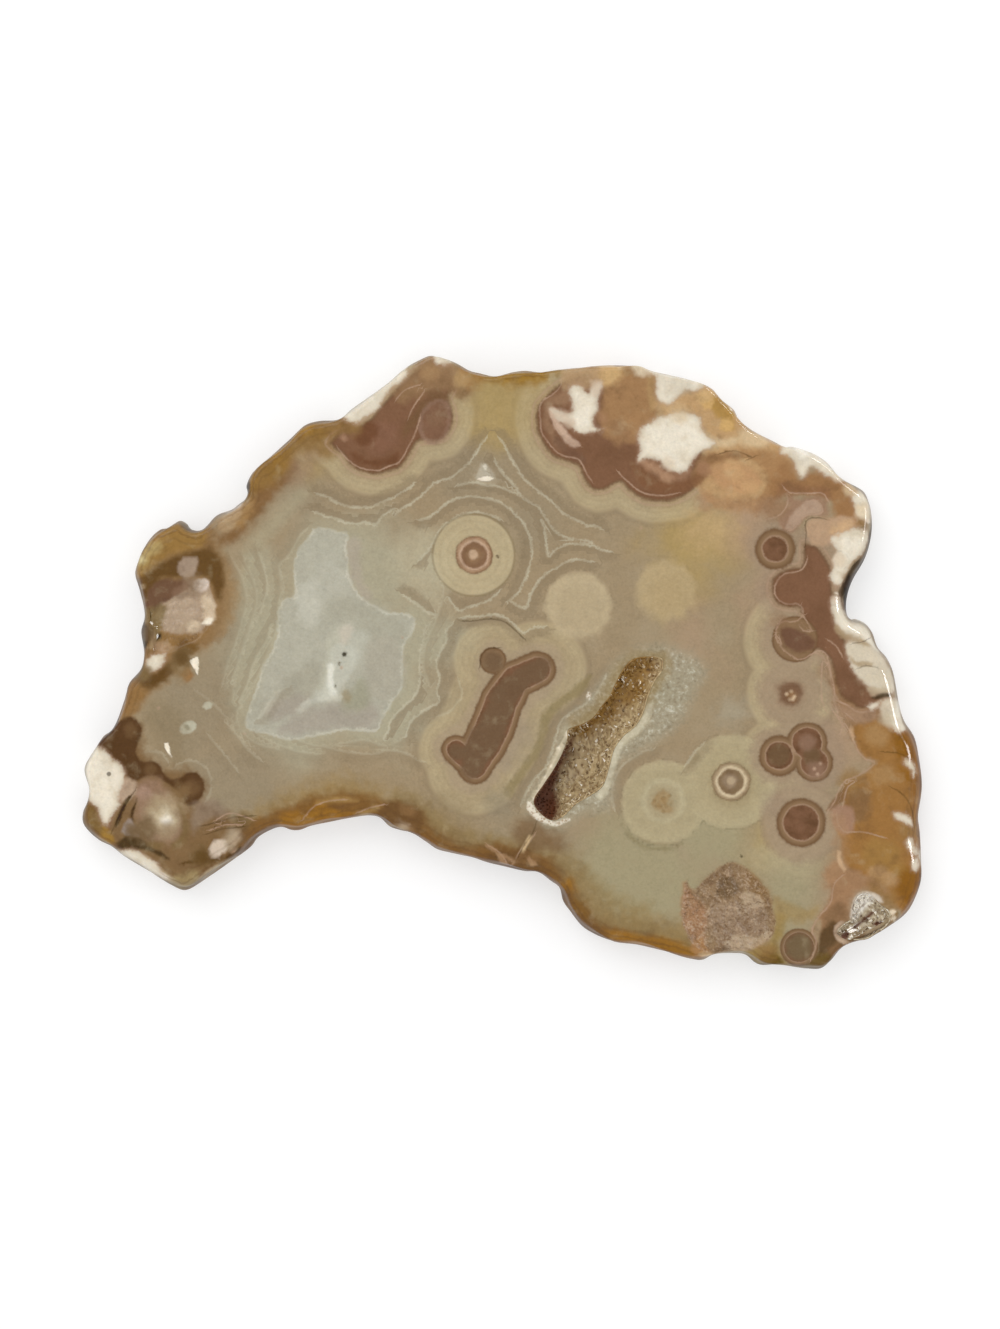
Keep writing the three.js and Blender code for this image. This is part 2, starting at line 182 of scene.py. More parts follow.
# Thin whitish growth lines: path, a point on the side where a darker band lies against it, and strength
GROWTH_LINES = [
    ("420,521 430,519 437,514 445,507 455,501 465,498.5 475,498 485,499.5 495,502 505,507 513,514 520,521"
     " 526,530 530,540 531.5,550 530,562 527,573 522,585 516,595 509,601", "475,510", 1),
    ("509,601 514,604 526,609 528,603 532,592 538,582 546,574 555,569 564,563 573,561 583,560.5 590,562",
     "575,572", 1),
    ("458,487 466,485 478,485 490,487 501,489 511,493 520,498 529,503 538,509 545,519 551,528 557,534"
     " 566,539 578,541 590,543", "490,493", 1),
    ("500,441 505,449 510,459 517,470 523,480 531,487 540,495 550,502 556,509 563,515 571,520 579,523"
     " 586,527 593,527 599,530", "530,470", 1),
    ("495,463 500,472 508,481 516,490 521,497", "500,482", 1),
    ("541,521 544,531 545,541 546,552 547,559 553,552 561,547 570,545 583,545.5 594,548 603,552 608,553",
     "570,552", 1),
    ("398,515 406,508 414,503 421,498 428,492 434,485 442,482 451,480 459,474 467,468 474,458 479,450"
     " 486,441", "440,474", 1),
    ("320,496 330,499 338,504 345,507 353,508.5 364,509 375,508 386,503 395,499 405,493 414,486",
     "364,500", 1),
    ("318,514 330,518 340,521 350,524 360,525 367,523 373,525 378,527 381,522 386,516 396,511",
     "350,516", 1),
    ("308,531 303,536 298,547 291,557 283,566 284,578 286,590 282,602 281,615", "276,580", 0.55),
    ("262,553 266,565 269,577 270,590 266,605 260,621", "260,585", 0.55),
    ("256,622 250,640 246,652 240,668 235,680", "241,645", 0.55),
    ("273,628 270,641 262,653 255,668 250,685 243,700", "258,650", 0.55),
    ("406,596 412,600 420,606 428,612 437,616 432,622 426,628 424,641 421,656 421,672 420,686 416,695"
     " 408,703 400,710 393,718 390,729 386,737", "430,655", 1),
    ("452,624 446,632 447,641 441,651 437,665 441,678 437,690 440,700 430,707 420,713 412,720 407,735",
     "447,655", 1),
    ("459,680 463,690 458,702 450,710 440,715", "452,695", 0.5),
    ("421,560 428,553 434,543 440,533 447,525 456,519 466,515 478,514 490,516 500,521", "445,538", 1),
    ("450,600 455,606 460,611 470,607 480,604 490,600 499,592", "475,598", 1),
    ("463,618 470,617 480,617 490,615 500,616 508,620 515,626 521,632 524,634 528,630 535,627 543,627",
     "495,622", 1),
    ("213,734 222,745 232,757 240,768", "220,755", 0.5),
    ("230,722 240,733 247,742 256,752 264,758", "240,745", 0.5),
    ("262,733 275,741 288,745 300,749 320,752", "285,750", 0.5),
    ("522,801 527,788 536,775 545,765 549,755 553,742 557,728 563,717 575,709 588,700 598,688 604,676",
     "540,755", 1),
    ("613,806 610,795 611,782 616,770 624,761 636,752 650,747", "622,775", 0.7),
    ("700,742 693,750 684,763", "700,755", 0.7),
    ("262,716 270,706 278,692 286,688", "285,705", 0.5),
    ("176,768 182,762 192,759 203,761 211,768 215,778 214,790 209,800", "195,770", 0.45),
    ("146,752 156,749 166,752 172,760", "158,758", 0.45),
    ("236,560 246,580 250,600 246,620 240,640 232,662 226,684", "243,610", 0.35),
    ("248,560 258,584 260,604 252,630 244,654 238,684 236,700", "255,600", 0.35),
    ("330,745 350,750 372,752 392,748 408,752 424,760", "370,757", 0.55),
    ("200,690 214,700 226,712 240,724", "215,705", 0.3),
    ("282,566 284,596 280,626 268,660 252,692 240,714 246,730 262,742 284,748", "262,640", 0.4),
    ("300,738 320,744 344,742 366,738 388,744 402,738", "350,756", 0.45),
    ("436,560 444,590 438,616 428,640 424,664 430,684", "446,620", 0.4),
]

# Pale pinkish lines inside the edges of lobes and round the hooked tube, and wrinkles in the rind
PINK_LINES = """
    833,716 838,724 836,732; 824,640 832,646 838,656;
    340,451 348,460 355,466 363,470 372,472 382,472 390,468 398,466 403,461 408,452 413,443 417,434 421,420;
    398,402 404,395 411,391 420,388;
    410,420 413,412 418,404 425,395;
    560,388 556,394 548,400 541,405 539,412 540,425 541,435 546,443 552,450 558,456 566,459 574,460 579,463
    583,470 586,477 590,482;
    617,474 622,480 628,485 635,491 643,495 655,497 665,497 675,495;
    553,424 558,434 567,443 578,448;
    803,560 801,567 797,571 790,573 782,574 775,579 771,588 772,596 777,602 786,605 793,604 797,607 799,615
    803,622 807,630;
    780,489 785,494 800,495 815,494.5 820,496 824,503;
    783,498 784,505 780,512 775,517 765,520;
    785,532 790,530 796,522 802,517 810,516 818,514 818,510 815,505 810,502 802,503;
    818,662 817,680 818,700 822,710;
    824,660 827,675 830,690 829,700 833,710;
    776,638 779,648 785,654 793,659 800,658 808,653 815,650 820,652 824,657;
    796,627 800,631 808,631;
    772,634 774,626 780,621 786,622;
    840,722 846,731 850,742 855,752 862,758 870,760 862,768 850,775 842,778 836,785 832,793 830,800 825,806
    822,812;
    850,780 843,785 840,795 838,803;
    832,812 834,822 840,829 850,829 862,830 880,835;
    838,872 830,880 828,888 827,897 822,905 815,912 810,920 808,928 812,936 811,945 807,955;
    306,816 318,803 330,799 347,797;
    358,811 370,806 386,802;
    534,832 528,840 520,848 512,862;
    488,842 500,850 508,862;
    220,817 232,811 245,813 256,817;
    214,827 230,822 246,822;
    829,698 835,701 841,703;
    826,706 832,714 838,717;
    842,713 848,718;
    777,620 773,628 772.5,637 777,647 784,653 792,657.5;
    786,622 795,620 799.5,611 797,606
"""
# Dark cracks and seams
DARK_LINES = """
    801,548 802,536 802,522 812,519 822,521;
    716,456 728,453 738,455 748,459;
    744,462 752,458.5;
    537,816 532,830 525,840 519,852;
    140,788 132,800 125,812 117,829;
    878,750 895,752 904,757;
    886,785 895,790 903,800 908,810 911,818 913,826;
    463,621 475,620.5 490,619 500,620 508,624 515,630 523,638;
    848,643 860,641 868,637;
    853,668 862,665 872,667;
    855,560 846,572 840,585;
    480,667 481,658 485,651 491,647.5 498,647.5;
    206,823 222,819 238,815 256,813;
    210,831 228,826 246,824
"""

# Milky white and cream patches
WHITES = """
    346,420 352,424 358,426 366,420 375,415 385,402 392,392 402,385 409,378 408,372 398,373 380,387 360,401
    348,411;
    434,358 443,358 455,363 450,368 438,367;
    569,392 575,388 582,390 586,397 590,391 594,386 600,386 599,394 595,400 595,412 592,422 594,430 602,431
    598,434 588,435 580,436 573,432 568,426 560,424 553,418 549,411 556,413 564,417 571,415 572,406 569,399;
    636,436 641,430 648,425 662,419 680,416 696,421 700,432 706,441 712,445 706,451 695,455 690,462 686,470
    676,474 666,469 656,462 645,460 636,463 640,450 637,444;
    656,378 655,390 655,402 660,406 670,405 678,397 684,392 692,394 700,390 712,390 700,380 682,375 664,373;
    640,366 652,371 664,374 658,378 646,375;
    777,456 780,448 790,444 805,449 820,455 830,464 838,474 846,483 836,482 822,476 812,471 807,468 803,475
    798,480 793,474 791,464 785,458;
    847,497 852,493 862,493 867,500 868,515 866,523 860,521 852,517 850,507;
    826,541 834,535 846,531 858,531 864,536 862,546 856,555 847,563 840,575 834,587 829,583 826,577 829,567
    833,558 831,549;
    828,599 833,596 836,604 840,613 846,620 855,619 864,622 870,630 875,641 880,655 872,651 862,645 852,640
    842,634 834,629 830,618;
    841,645 846,641 858,642 870,646 878,654 884,668 889,684 892,694 884,691 874,690 864,685 856,679 850,671
    845,661;
    876,701 884,698 893,700 899,706 901,716 904,728 897,731 889,729 883,722 877,712;
    863,706 868,702 876,699 874,704 868,708;
    98,744 108,748 116,756 124,763 130,773 127,783 124,791 124,800 119,809 116,817 112,823 108,820 105,812
    102,804 94,797 85,784 86,770 91,754;
    152,666 154,658 161,653 170,654 167,662 161,669 155,670;
    126,849 134,847 146,852 156,858 164,866 168,877 158,873 142,864 130,857;
    889,811 898,812 908,818 909,824 900,820 892,816;
    901,840 907,836 910,845 912,853 906,850 903,845;
    915,850 921,846 921,862 916,868;
    907,858 912,856 913,866 907,868;
    898,758 908,760 911,768 909,777 905,768 899,762
"""

# Near-black clefts
DARKS = """
    866,697 873,694 882,692 885,694 877,697 870,699;
    246,482 251,484 252,494 246,494;
    849,484 854,482 858,486 853,487
"""

# Washes of colour: (colour, softness of the edge in millimetres, strength, shapes), painted one over the other
MID_WASHES = [
    # Olive glow at the top, and pale chalcedony along the upper left rind
    ("#a48f64", 4, 0.55, "472,370 544,368 538,400 522,428 500,440 482,424 468,400"),
    ("#a59b81", 0.9, 0.6, "248,548 262,530 276,514 292,498 304,486 311,496 298,512 284,530 270,548 258,566"
     " 252,590 244,612 236,602 242,575"),
    ("#a8a28b", 1.6, 0.65, "252,560 268,550 284,562 282,600 272,640 258,690 246,712 234,700 230,668"
     " 240,630 248,596"),
    ("#b3a98f", 1.8, 0.65, "406,538 430,530 448,552 452,590 440,606 420,598 402,582 396,556"),
    ("#aea182", 2, 0.55, "745,845 770,842 800,850 815,862 800,872 770,868 750,862"),
    ("#99856b", 1.2, 0.6, "772,800,11"),
    # The heart: milkier and browner places, the frosty streak by its small pits
    ("#bdbaab", 0.9, 0.85, "303,586 318,581 323,600 319,622 308,626 300,610"),
    ("#b4b1a2", 1.2, 0.6, "322,564 344,566 350,588 330,598 318,584"),
    ("#a7a392", 1, 0.85, "336,600 372,602 400,616 410,632 398,648 372,640 350,620 328,622"),
    ("#a39e8d", 1.2, 0.85, "294,672 320,662 326,690 312,702 292,708 274,716 260,722 260,704 280,692"),
    ("#a0978a", 0.9, 0.8, "270,708 300,694 318,700 300,714 274,718; 284,724 330,704 372,700 382,712"
     " 374,727 340,727 300,733 280,731"),
    ("#9b9883", 0.8, 0.85, "352,690 366,676 373,690 366,708 348,710 344,700"),
    ("#a8a292", 0.8, 0.8, "370,642 396,638 404,660 401,690 384,702 370,690 366,668"),
    ("#b9b6a4", 0.6, 0.75, "329,640 340,628 350,623 357,634 348,642 341,650 335,664 339,690 330,695"
     " 321,691 326,668 328,652"),
    ("#c0b7a7", 0.4, 0.8, "342,628 350,624 356,630 350,640 344,646"),
    ("#b5b3a4", 0.6, 0.8, "356,632 373,634 366,646 362,664 352,668 350,650"),
    ("#dcd9ca", 0.4, 0.7, "333,660 336,664 334.5,676 335.5,686 338,692 333,693 330,686 330,674 331,664"),
    ("#d2cfbf", 0.4, 0.55, "332,692 340,694 350,693 344,698 330,699 319,700 323,695"),
    ("#c2beae", 0.3, 0.6, "318,698 310,706 302,712 297,710 306,702 314,696; 260,718 269,706 275,695"
     " 284,689 280,698 272,710 266,717"),
    ("#988c72", 0.4, 0.85, "344,689 350,689 352,700 345,700"),
    ("#a89d8e", 0.6, 0.7, "349,540 362,540 362,560 364,580 374,598 366,600 354,580 350,562"),
    # Soft discs below the polished face
    ("#baa98a", 0.5, 0.85, "577,605,32.5"),
    ("#af9e80", 1.6, 0.85, "581,611,24"),
    ("#b4a07c", 0.8, 0.85, "663,591,29"),
    ("#ac9772", 1.8, 0.75, "667,597,22"),
    ("#b79c72", 2.6, 0.7, "700,532,18; 716,528,16"),
    # The two large eyes at the lower right
    ("#b2a585", 0.25, 0.8, "661,800,41.5; 728,779.5,46.5"),
    ("#a89b7c", 1.2, 0.9, "661,800,35"),
    ("#aa9c7c", 1.4, 0.9, "728,779.5,38"),
    ("#8e8063", 0.16, 0.6, "695,750 688,757 684,768 690,764 697,757; 634,833 642,840 660,843 678,840"
     " 660,840.5 644,837"),
    # Small pale ovals at the left
    ("#bdbaa6", 0.15, 0.8, "183,730 187,722 195,719 201,723 197,730 189,733; 206,706 209,701 215,700"
     " 216,705 211,709"),
    ("#8f8a75", 0.12, 0.8, "191,726,2.6"),
    ("#b5aa8c", 0.35, 0.75, "661,798,22"),
    ("#a49678", 0.5, 0.85, "661,799,17.5"),
    ("#9a7d56", 0.25, 0.6, "655,790 662,788 668,793 666,801 672,806 664,811 656,808 650,802 652,795"),
    ("#978768", 0.9, 0.7, "729,782,22"),
    # The pinkish halo right round the long tube, and the dark band between its bands and the hollow
    ("#a08d78", 0.5, 0.5, "541,643 556,648 563,660 562,674 556,686 545,696 534,704 527,718 521,736 515,752"
     " 505,768 494,784 480,791 462,790 450,780 447,766 436,756 434,742 442,730 456,722 466,712 474,694"
     " 480,680 476,668 480,652 490,640 504,644 512,652 524,645"),
    ("#857654", 0.3, 0.75, "590,674 584,690 572,699 560,707 551,718 547,730 543,745 536,758 526,772"
     " 517,786 510,797 503,792 512,776 522,762 531,748 537,732 540,716 552,702 566,692 578,682"),
    ("#b4a78f", 0.9, 0.6, "486,479,10"),
    ("#938266", 1.8, 0.7, "430,790 450,796 470,806 462,816 440,808 424,800"),
    ("#8f7c56", 1.6, 0.75, "580,862 600,880 625,896 650,905 640,915 610,904 585,888 574,872"),
    ("#9a8b76", 1.6, 0.6, "520,724 532,722 534,740 520,756 508,770 500,762 510,744; 770,800,9"),
    ("#86765c", 1.6, 0.55, "150,706 168,700 186,712 190,740 186,765 168,750 152,730"),
    ("#a39a86", 1.6, 0.6, "720,700 740,700 744,716 730,724 714,718"),
    ("#b19b7a", 1.0, 0.7, "635,694 646,684 650,692 640,702"),
    ("#c3c2b4", 0.4, 0.55, "306,706 318,692 326,684 330,668 333,652 340,642 346,645 355,646 360,653 356,664 352,676"
     " 345,686 340,694 328,699 316,703"),
    ("#b5ad9c", 0.2, 0.7, "476,480 484.5,465 495,480"),
    ("#d8d0bd", 0.1, 0.8, "483,468 486,465 488,472 486,474"),
    ("#dfddd0", 0.22, 0.75, "331,664 334,660 335.5,674 336.5,686 339,692 333,693 330,686 330,674"),
]
RIND_WASHES = [
    ("#8f6f38", 0.8, 0.85, "456,366 480,369 500,371 530,370 562,366 566,373 546,379 520,383 496,382"
     " 472,380"),
    # Stained and beaded quartz at the lips of the open hollow
    ("#8f774b", 0.9, 0.6, "567,722 580,712 596,698 604,682 614,666 626,654 646,650 664,652 668,664 660,682"
     " 652,700 646,716 636,730 622,742 612,736 600,730 580,732"),
    ("#c9c1a9", 0.35, 0.8, "644,706 650,700 650,712 642,726 630,738 620,746 616,758 612,770 607,788"
     " 600,797 594,796 602,778 606,762 610,748 622,734 636,722"),
    ("#a99f86", 0.4, 0.75, "566,722 570,728 568,744 560,764 552,780 542,796 536,802 528,800 538,782"
     " 550,764 558,746 560,732"),
    # Ochre glow and brown edge at the bottom
    ("#93794d", 2.2, 0.8, "236,826 262,806 290,792 318,781 345,776 372,782 396,794 420,810 446,830 480,840"
     " 530,848 556,866 570,888 590,904 620,912 660,918 690,926 706,950 700,970 600,950 550,890 450,860"
     " 390,832 300,836"),
    ("#8a7551", 1.6, 0.85, "398,790 420,796 440,808 460,822 482,832 506,834 530,836 552,842 572,852"
     " 584,868 592,884 604,898 622,908 644,916 668,922 690,934 704,956 690,962 640,950 590,935 560,900"
     " 540,882 500,872 450,856 410,838 392,820"),
    ("#775c3d", 0.9, 0.85, "402,806 420,812 436,825 456,837 480,842 506,843 530,848 552,856 566,874"
     " 578,896 596,914 620,926 650,934 680,942 704,956 690,962 640,950 590,935 560,900 540,882 500,872"
     " 450,856 410,838 396,822"),
    ("#7b5833", 0.9, 0.95, "205,838 225,831 250,820 272,810 296,801 320,793 345,790 368,793 392,800"
     " 412,804 424,813 432,828 446,838 466,846 486,843 505,842 520,850 540,853 556,868 566,886 578,905"
     " 600,921 640,933 676,943 706,962 640,960 590,945 556,900 540,882 500,876 450,860 400,838 375,822"
     " 340,828 300,838 260,846 236,866 214,880 200,866"),
    ("#93682e", 0.6, 0.9, "282,828 285,814 296,809 306,813 308,828 296,834; 306,822 311,809 320,801"
     " 338,802 354,807 364,813 350,820 328,826; 606,928 640,930 680,939 704,958 640,952; 566,872 574,880"
     " 572,892 562,888"),
    ("#a98a58", 0.35, 0.7, "318,801 328,796 346,795 360,798 348,800 330,800; 356,812 370,806 384,803"
     " 372,811"),
    ("#6a4e34", 0.7, 0.85, "378,818 384,804 400,799 418,803 426,818 418,832 396,834; 486,858 500,846"
     " 520,852 540,858 548,878 520,878 492,872; 560,892 568,884 578,902 592,920 604,936 584,936 566,910;"
     " 330,803 345,802 356,806 345,808"),
    ("#8b6a48", 0.4, 0.6, "402,802 414,803 416,812 404,812; 396,823 412,822 418,830 402,831; 462,850"
     " 470,846 478,850 474,856 464,856; 514,846 540,852 534,862 518,858"),
    # Upper left edge, with a painted highlight along its ridge
    ("#8b6938", 0.9, 0.95, "346,410 321,414 303,420 286,434 266,451 244,472 240,492 254,501 268,492"
     " 284,482 296,470 299,453 308,444 322,446 334,441 350,436 362,430 356,420"),
    ("#9d7530", 0.7, 0.75, "296,431 308,424 320,426 312,436 300,444 286,456 276,462 280,447"),
    ("#7c5b3b", 0.8, 0.9, "262,490 276,484 290,474 300,461 299,476 288,488 276,500 266,512 256,526 246,536"
     " 234,544 222,546 220,536 232,532 244,522 252,510 256,498"),
    ("#937a64", 1.3, 0.6, "300,454 314,446 325,452 318,470 306,486 292,488"),
    ("#9c7a50", 0.5, 0.85, "236,527 238,512 248,504 256,499 257,510 250,522 242,530"),
    ("#a88d6c", 0.4, 0.9, "222,522 230,514 242,509 246,514 240,524 232,532 222,532"),
    # Painted highlight: a pale strip along the ridge
    ("#cfbfae", 0.3, 0.9, "220,517 230,508 241,500 247,504 238,511 228,516"),
    # Left lobe: brown body, ochre crown with a painted highlight, dark band, frosted hollow with painted highlights
    # along its right edge
    ("#8a6c4a", 1, 0.95, "137,567 150,540 165,528 181,516 196,526 214,512 219,530 221,546 230,560 236,576"
     " 240,596 237,614 229,630 218,642 206,650 194,656 182,668 170,682 156,692 146,704 136,716 118,724"
     " 104,734 108,716 122,694 128,676 138,660 134,640 140,610 130,580"),
    ("#9c8463", 0.9, 0.55, "226,564 234,574 241,596 237,616 229,632 220,634 228,612 231,590"),
    ("#937242", 0.6, 0.95, "135,567 144,548 158,536 170,526 181,516 190,526 206,529 212,540 206,549"
     " 190,552 176,556 162,564 150,574 138,580"),
    # Painted highlight on the ochre crown
    ("#b19b69", 0.6, 0.9, "139,568 144,556 152,547 163,542 169,548 158,556 150,567"),
    ("#d0c294", 0.45, 0.85, "146,560,4"),
    ("#61472b", 0.55, 0.95, "148,603 142,590 147,578 160,567 176,559 192,553 208,549 220,553 227,566"
     " 227,586 222,602 217,590 210,578 196,578 180,578 166,580 157,590 154,603"),
    ("#a08c7a", 0.25, 0.95, "182,572 184,562 190,559 197,557 202,560 201,568 197,577 190,578 185,576"),
    ("#6c5040", 0.35, 0.95, "148,611 151,598 157,586 168,580 184,580 199,580 201,590 196,597 184,600"
     " 172,603 162,609 154,613"),
    ("#856956", 0.5, 0.75, "176,597 180,588 190,583 197,588 194,598 184,601"),
    ("#a8927b", 0.25, 1, "164,606 178,598 190,592 196,585 204,580 212,581 215,592 218,602 219,612 216,622"
     " 209,627 205,636 199,642 188,644 176,640 168,632 165,620"),
    ("#b29d87", 0.6, 0.75, "168,604 184,600 200,600 206,612 200,622 188,624 178,632 168,626 162,614"),
    ("#84704f", 0.4, 0.9, "148,612 158,607 168,604 169,618 165,632 170,644 160,641 156,628 150,620"),
    # Painted highlights along the right edge of the frosted hollow
    ("#d6c2a6", 0.45, 0.7, "206,598 212,594 218,604 219,613 216,622 209,620 207,610; 192,632 191,625"
     " 198,620 204,623 202,632"),
    ("#dccdc0", 0.25, 0.95, "197,587 200,581 208,579 213,583 211,590 203,592"),
    ("#f0e6d2", 0.2, 0.9, "205,624 210,619 217,617 214,624"),
    ("#8c6c45", 0.4, 0.95, "164,632 172,632 182,634 196,634 206,632 214,628 206,638 196,644 184,648"
     " 178,653 168,655 158,651 154,644 164,640"),
    ("#a5886a", 0.25, 0.9, "158,646 166,641 174,643 176,649 168,652 160,650"),
    ("#241a10", 0.18, 0.95, "146,620 152,625 158,629 156,636 153,643 149,650 146,654 144,646 144,632;"
     " 161,635 165,633 166,638 162,641"),
    ("#4b3a27", 0.25, 0.9, "138,620 144,618 145,632 145,646 147,655 138,658"),
    ("#a08a6c", 0.15, 0.85, "147,587,2.6; 152,626 158,630 160,641 155,650 151,650 156,640 156,632"),
    ("#d9d1bb", 0.25, 1, "150,670 151,662 156,657 162,656 165,660 161,666 155,671"),
    ("#5d4327", 0.5, 0.95, "147,675 160,671 170,665 180,657 190,648 190,658 182,668 172,678 160,685"
     " 148,688 141,681"),
    ("#6f5230", 0.5, 0.9, "180,650 186,640 196,642 204,646 196,654 186,660"),
    ("#95693e", 0.4, 0.9, "185,674 189,666 195,668 198,676 192,681"),
    ("#8e6c44", 0.7, 0.85, "138,678 150,690 146,702 136,714 116,718 122,698 128,684"),
    # Lower left lobe: umber band, dome with a painted highlight, clefts, pale strips
    ("#7b6043", 1.1, 0.95, "98,742 124,722 146,724 150,750 166,764 196,770 210,784 206,800 228,808 240,820"
     " 252,836 226,870 186,896 150,880 96,846 76,826 80,800"),
    ("#553c2a", 0.22, 1, "94,744 100,738 112,731 122,722 131,716 140,717 146,725 146,735 142,744 141,752"
     " 147,760 158,759 165,763 169,773 178,778 186,775 193,770 201,771 207,778 208,788 204,797 196,803"
     " 189,801 186,793 178,786 170,781 163,775 151,774 142,779 134,776 128,768 118,756 106,748"),
    ("#6c523a", 0.5, 0.8, "196,785,9; 135,729,7; 155,768,6"),
    ("#8d7b6a", 0.7, 0.7, "198,803 212,797 226,800 230,812 216,816 204,822 197,830 195,814"),
    ("#927661", 0.8, 0.95, "141,786 148,778 158,776 167,781 174,791 181,801 188,813 190,825 186,835"
     " 176,841 164,841 152,837 144,827 141,813 140,799"),
    # Painted highlight on the dome: a paler centre, a brighter core and a near-white spot
    ("#a99779", 1.3, 0.85, "168,812,19"),
    ("#c9bba0", 1, 0.9, "169,816,10"),
    ("#f4ecdd", 0.6, 0.9, "170.5,817.5,4.5"),
    ("#a88b7a", 0.7, 0.6, "149,790,7"),
    ("#76603f", 0.5, 0.8, "182,802 189,812 193,822 191,834 184,843 174,843 184,832 186,818; 160,838"
     " 172,840 160,846 150,840"),
    ("#b59e88", 0.35, 0.9, "126,779 134,777 142,781 140,790 132,798 124,800"),
    ("#433120", 0.14, 1, "137,791 133,799 129,808 125,818 122,825 120,822 124,810 129,799; 142,796 140,806"
     " 137,814 141,821 136,818 137,806"),
    ("#6e4b33", 0.14, 0.85, "126,796 121,808 116,822 113,834 111,832 114,820 119,806"),
    ("#978980", 0.2, 0.95, "126,829 131,819 135,815 139,821 145,833 138,834"),
    ("#403020", 0.25, 0.9, "122,844 126,836 133,833 143,834 150,838 152,843 159,846 167,850 175,857"
     " 165,853 152,848 138,846 126,847"),
    ("#bdac90", 0.3, 0.9, "118,848 131,848 142,849 152,853 160,860 168,868 180,880 170,886 150,876 134,866"),
    ("#efe6d6", 0.25, 0.9, "150,858 156,858 166,868 172,877 164,878 154,868"),
    ("#684824", 0.35, 0.95, "76,812 90,806 98,803 101,812 101,824 98,836 82,828"),
    ("#97743a", 0.35, 0.95, "101,826 108,822 115,828 119,838 112,848 102,844"),
    ("#9b8862", 0.6, 0.9, "174,880 184,872 194,868 204,868 198,882 186,894"),
    ("#b39f80", 0.35, 0.9, "200,882 208,870 216,864 226,859 234,856 240,860 228,870 212,882"),
    ("#50381d", 0.18, 0.9, "182,861 192,858 206,856 220,855 234,850 246,842 244,847 234,854 220,859"
     " 204,859"),
    ("#d0bfac", 0.13, 0.95, "213,846 217,838 224,836 231,838 232,845 226,851 220,854 214,854"),
    ("#a88a70", 0.13, 0.9, "233,838 236,831 240,829 243,833 240,840 236,844; 237,848,2.2"),
    ("#4d3c29", 0.15, 0.9, "88,778 92,782 93,792 90,792"),
    # Right edge: amber, brown and flesh-coloured quartz
    ("#8a694a", 0.8, 0.9, "826,664 838,668 850,680 864,690 878,704 888,722 872,728 856,736 850,740 842,724"
     " 834,708 828,690"),
    ("#9f826a", 0.6, 0.8, "832,704 846,706 862,708 872,712 866,722 852,722 840,716"),
    ("#976e41", 0.45, 1, "848,728 858,722 872,720 884,722 890,728 904,728 926,742 930,790 930,850 926,902"
     " 908,920 896,908 884,896 876,884 862,876 846,868 838,856 836,840 832,826 838,806 838,790 846,780"
     " 860,772 867,765 872,760 860,756 852,744"),
    ("#865a24", 0.9, 0.9, "888,730 902,728 914,736 926,760 926,790 912,796 902,780 894,760 888,744;"
     " 896,864 912,866 926,860 926,896 910,914 898,902 890,884"),
    ("#9b7846", 1, 0.7, "862,840 884,836 896,850 896,870 884,878 868,870 858,856"),
    ("#a5835a", 0.7, 0.7, "862,726 876,724 884,734 876,744 862,740; 870,766 884,764 888,776 876,784"
     " 866,780"),
    ("#836344", 0.9, 0.95, "842,791 850,784 862,783 866,796 864,812 856,822 846,816 840,805"),
    ("#7f5f44", 0.35, 0.9, "822,808 828,798 834,790 840,782 850,777 862,776 852,781 844,786 840,797"
     " 834,804"),
    ("#9f7d68", 0.35, 0.9, "828,806 836,802 846,804 850,816 848,828 838,831 829,822"),
    ("#ac8a64", 0.5, 0.8, "862,868 872,862 886,868 894,878 880,884 868,878"),
    ("#9c795b", 0.5, 1, "820,868 832,858 846,866 862,872 876,880 886,892 870,888 856,886 848,892 844,904"
     " 840,916 830,926 820,936 812,944 806,930 812,916 822,902 826,888"),
    ("#8b6c50", 0.6, 0.9, "824,906 842,900 846,914 836,922 828,932 820,940 814,926"),
    ("#5b4631", 0.45, 0.95, "818,926 828,917 838,923 836,938 828,950 816,958 810,950 814,936"),
    ("#7c5e43", 0.5, 0.95, "830,938 846,937 866,933 886,921 902,912 908,920 890,934 860,948 838,958"
     " 826,970 818,962"),
    ("#a08b6f", 0.3, 0.9, "807,930 814,915 818,919 814,932 814,944 808,957 805,944"),
    ("#67522f", 0.45, 0.95, "808,952 824,948 832,958 822,972 802,970 790,962"),
    ("#947d4c", 0.8, 0.9, "764,938 770,920 776,908 782,914 778,930 776,944 784,958 800,968 790,974 752,968"
     " 742,954 746,942"),
    ("#5d481b", 0.4, 0.95, "757,950 768,948 776,952 780,958 770,962 758,959"),
    ("#9a8256", 0.7, 0.7, "770,895 800,905 816,900 806,916 782,918 770,924"),
    # Worn granular patch at the bottom
    ("#8f765a", 0.25, 1, "684,876 690,886 702,876 714,866 728,859 742,864 754,876 766,890 770,906 772,920"
     " 767,932 754,942 738,947 722,949 706,952 694,946 684,930 679,912 680,894"),
    ("#a07a5b", 0.5, 0.9, "682,880 690,892 700,900 706,916 702,930 704,944 696,944 686,930 680,912"),
    ("#8a6a42", 0.8, 0.6, "744,868 756,878 766,892 760,902 746,888"),
    ("#715b43", 0.3, 0.95, "724,884,11"),
    ("#978069", 0.6, 0.9, "706,906 720,900 742,898 758,906 764,924 748,938 724,942 710,930"),
    ("#b5a086", 0.3, 0.8, "722,936 738,930 754,934 766,924 768,932 756,942 738,947 724,946; 738,892"
     " 748,888 762,900 760,904 744,902"),
    ("#a37a51", 0.35, 0.9, "688,942 698,934 706,946 712,954 700,956"),
    ("#cdb28c", 0.25, 0.8, "696,950 704,948 712,952 704,955"),
    # Spots of darker and paler stain in the rind
    ("#735e46", 0.8, 0.9, "150,827,12; 137,827,7"),
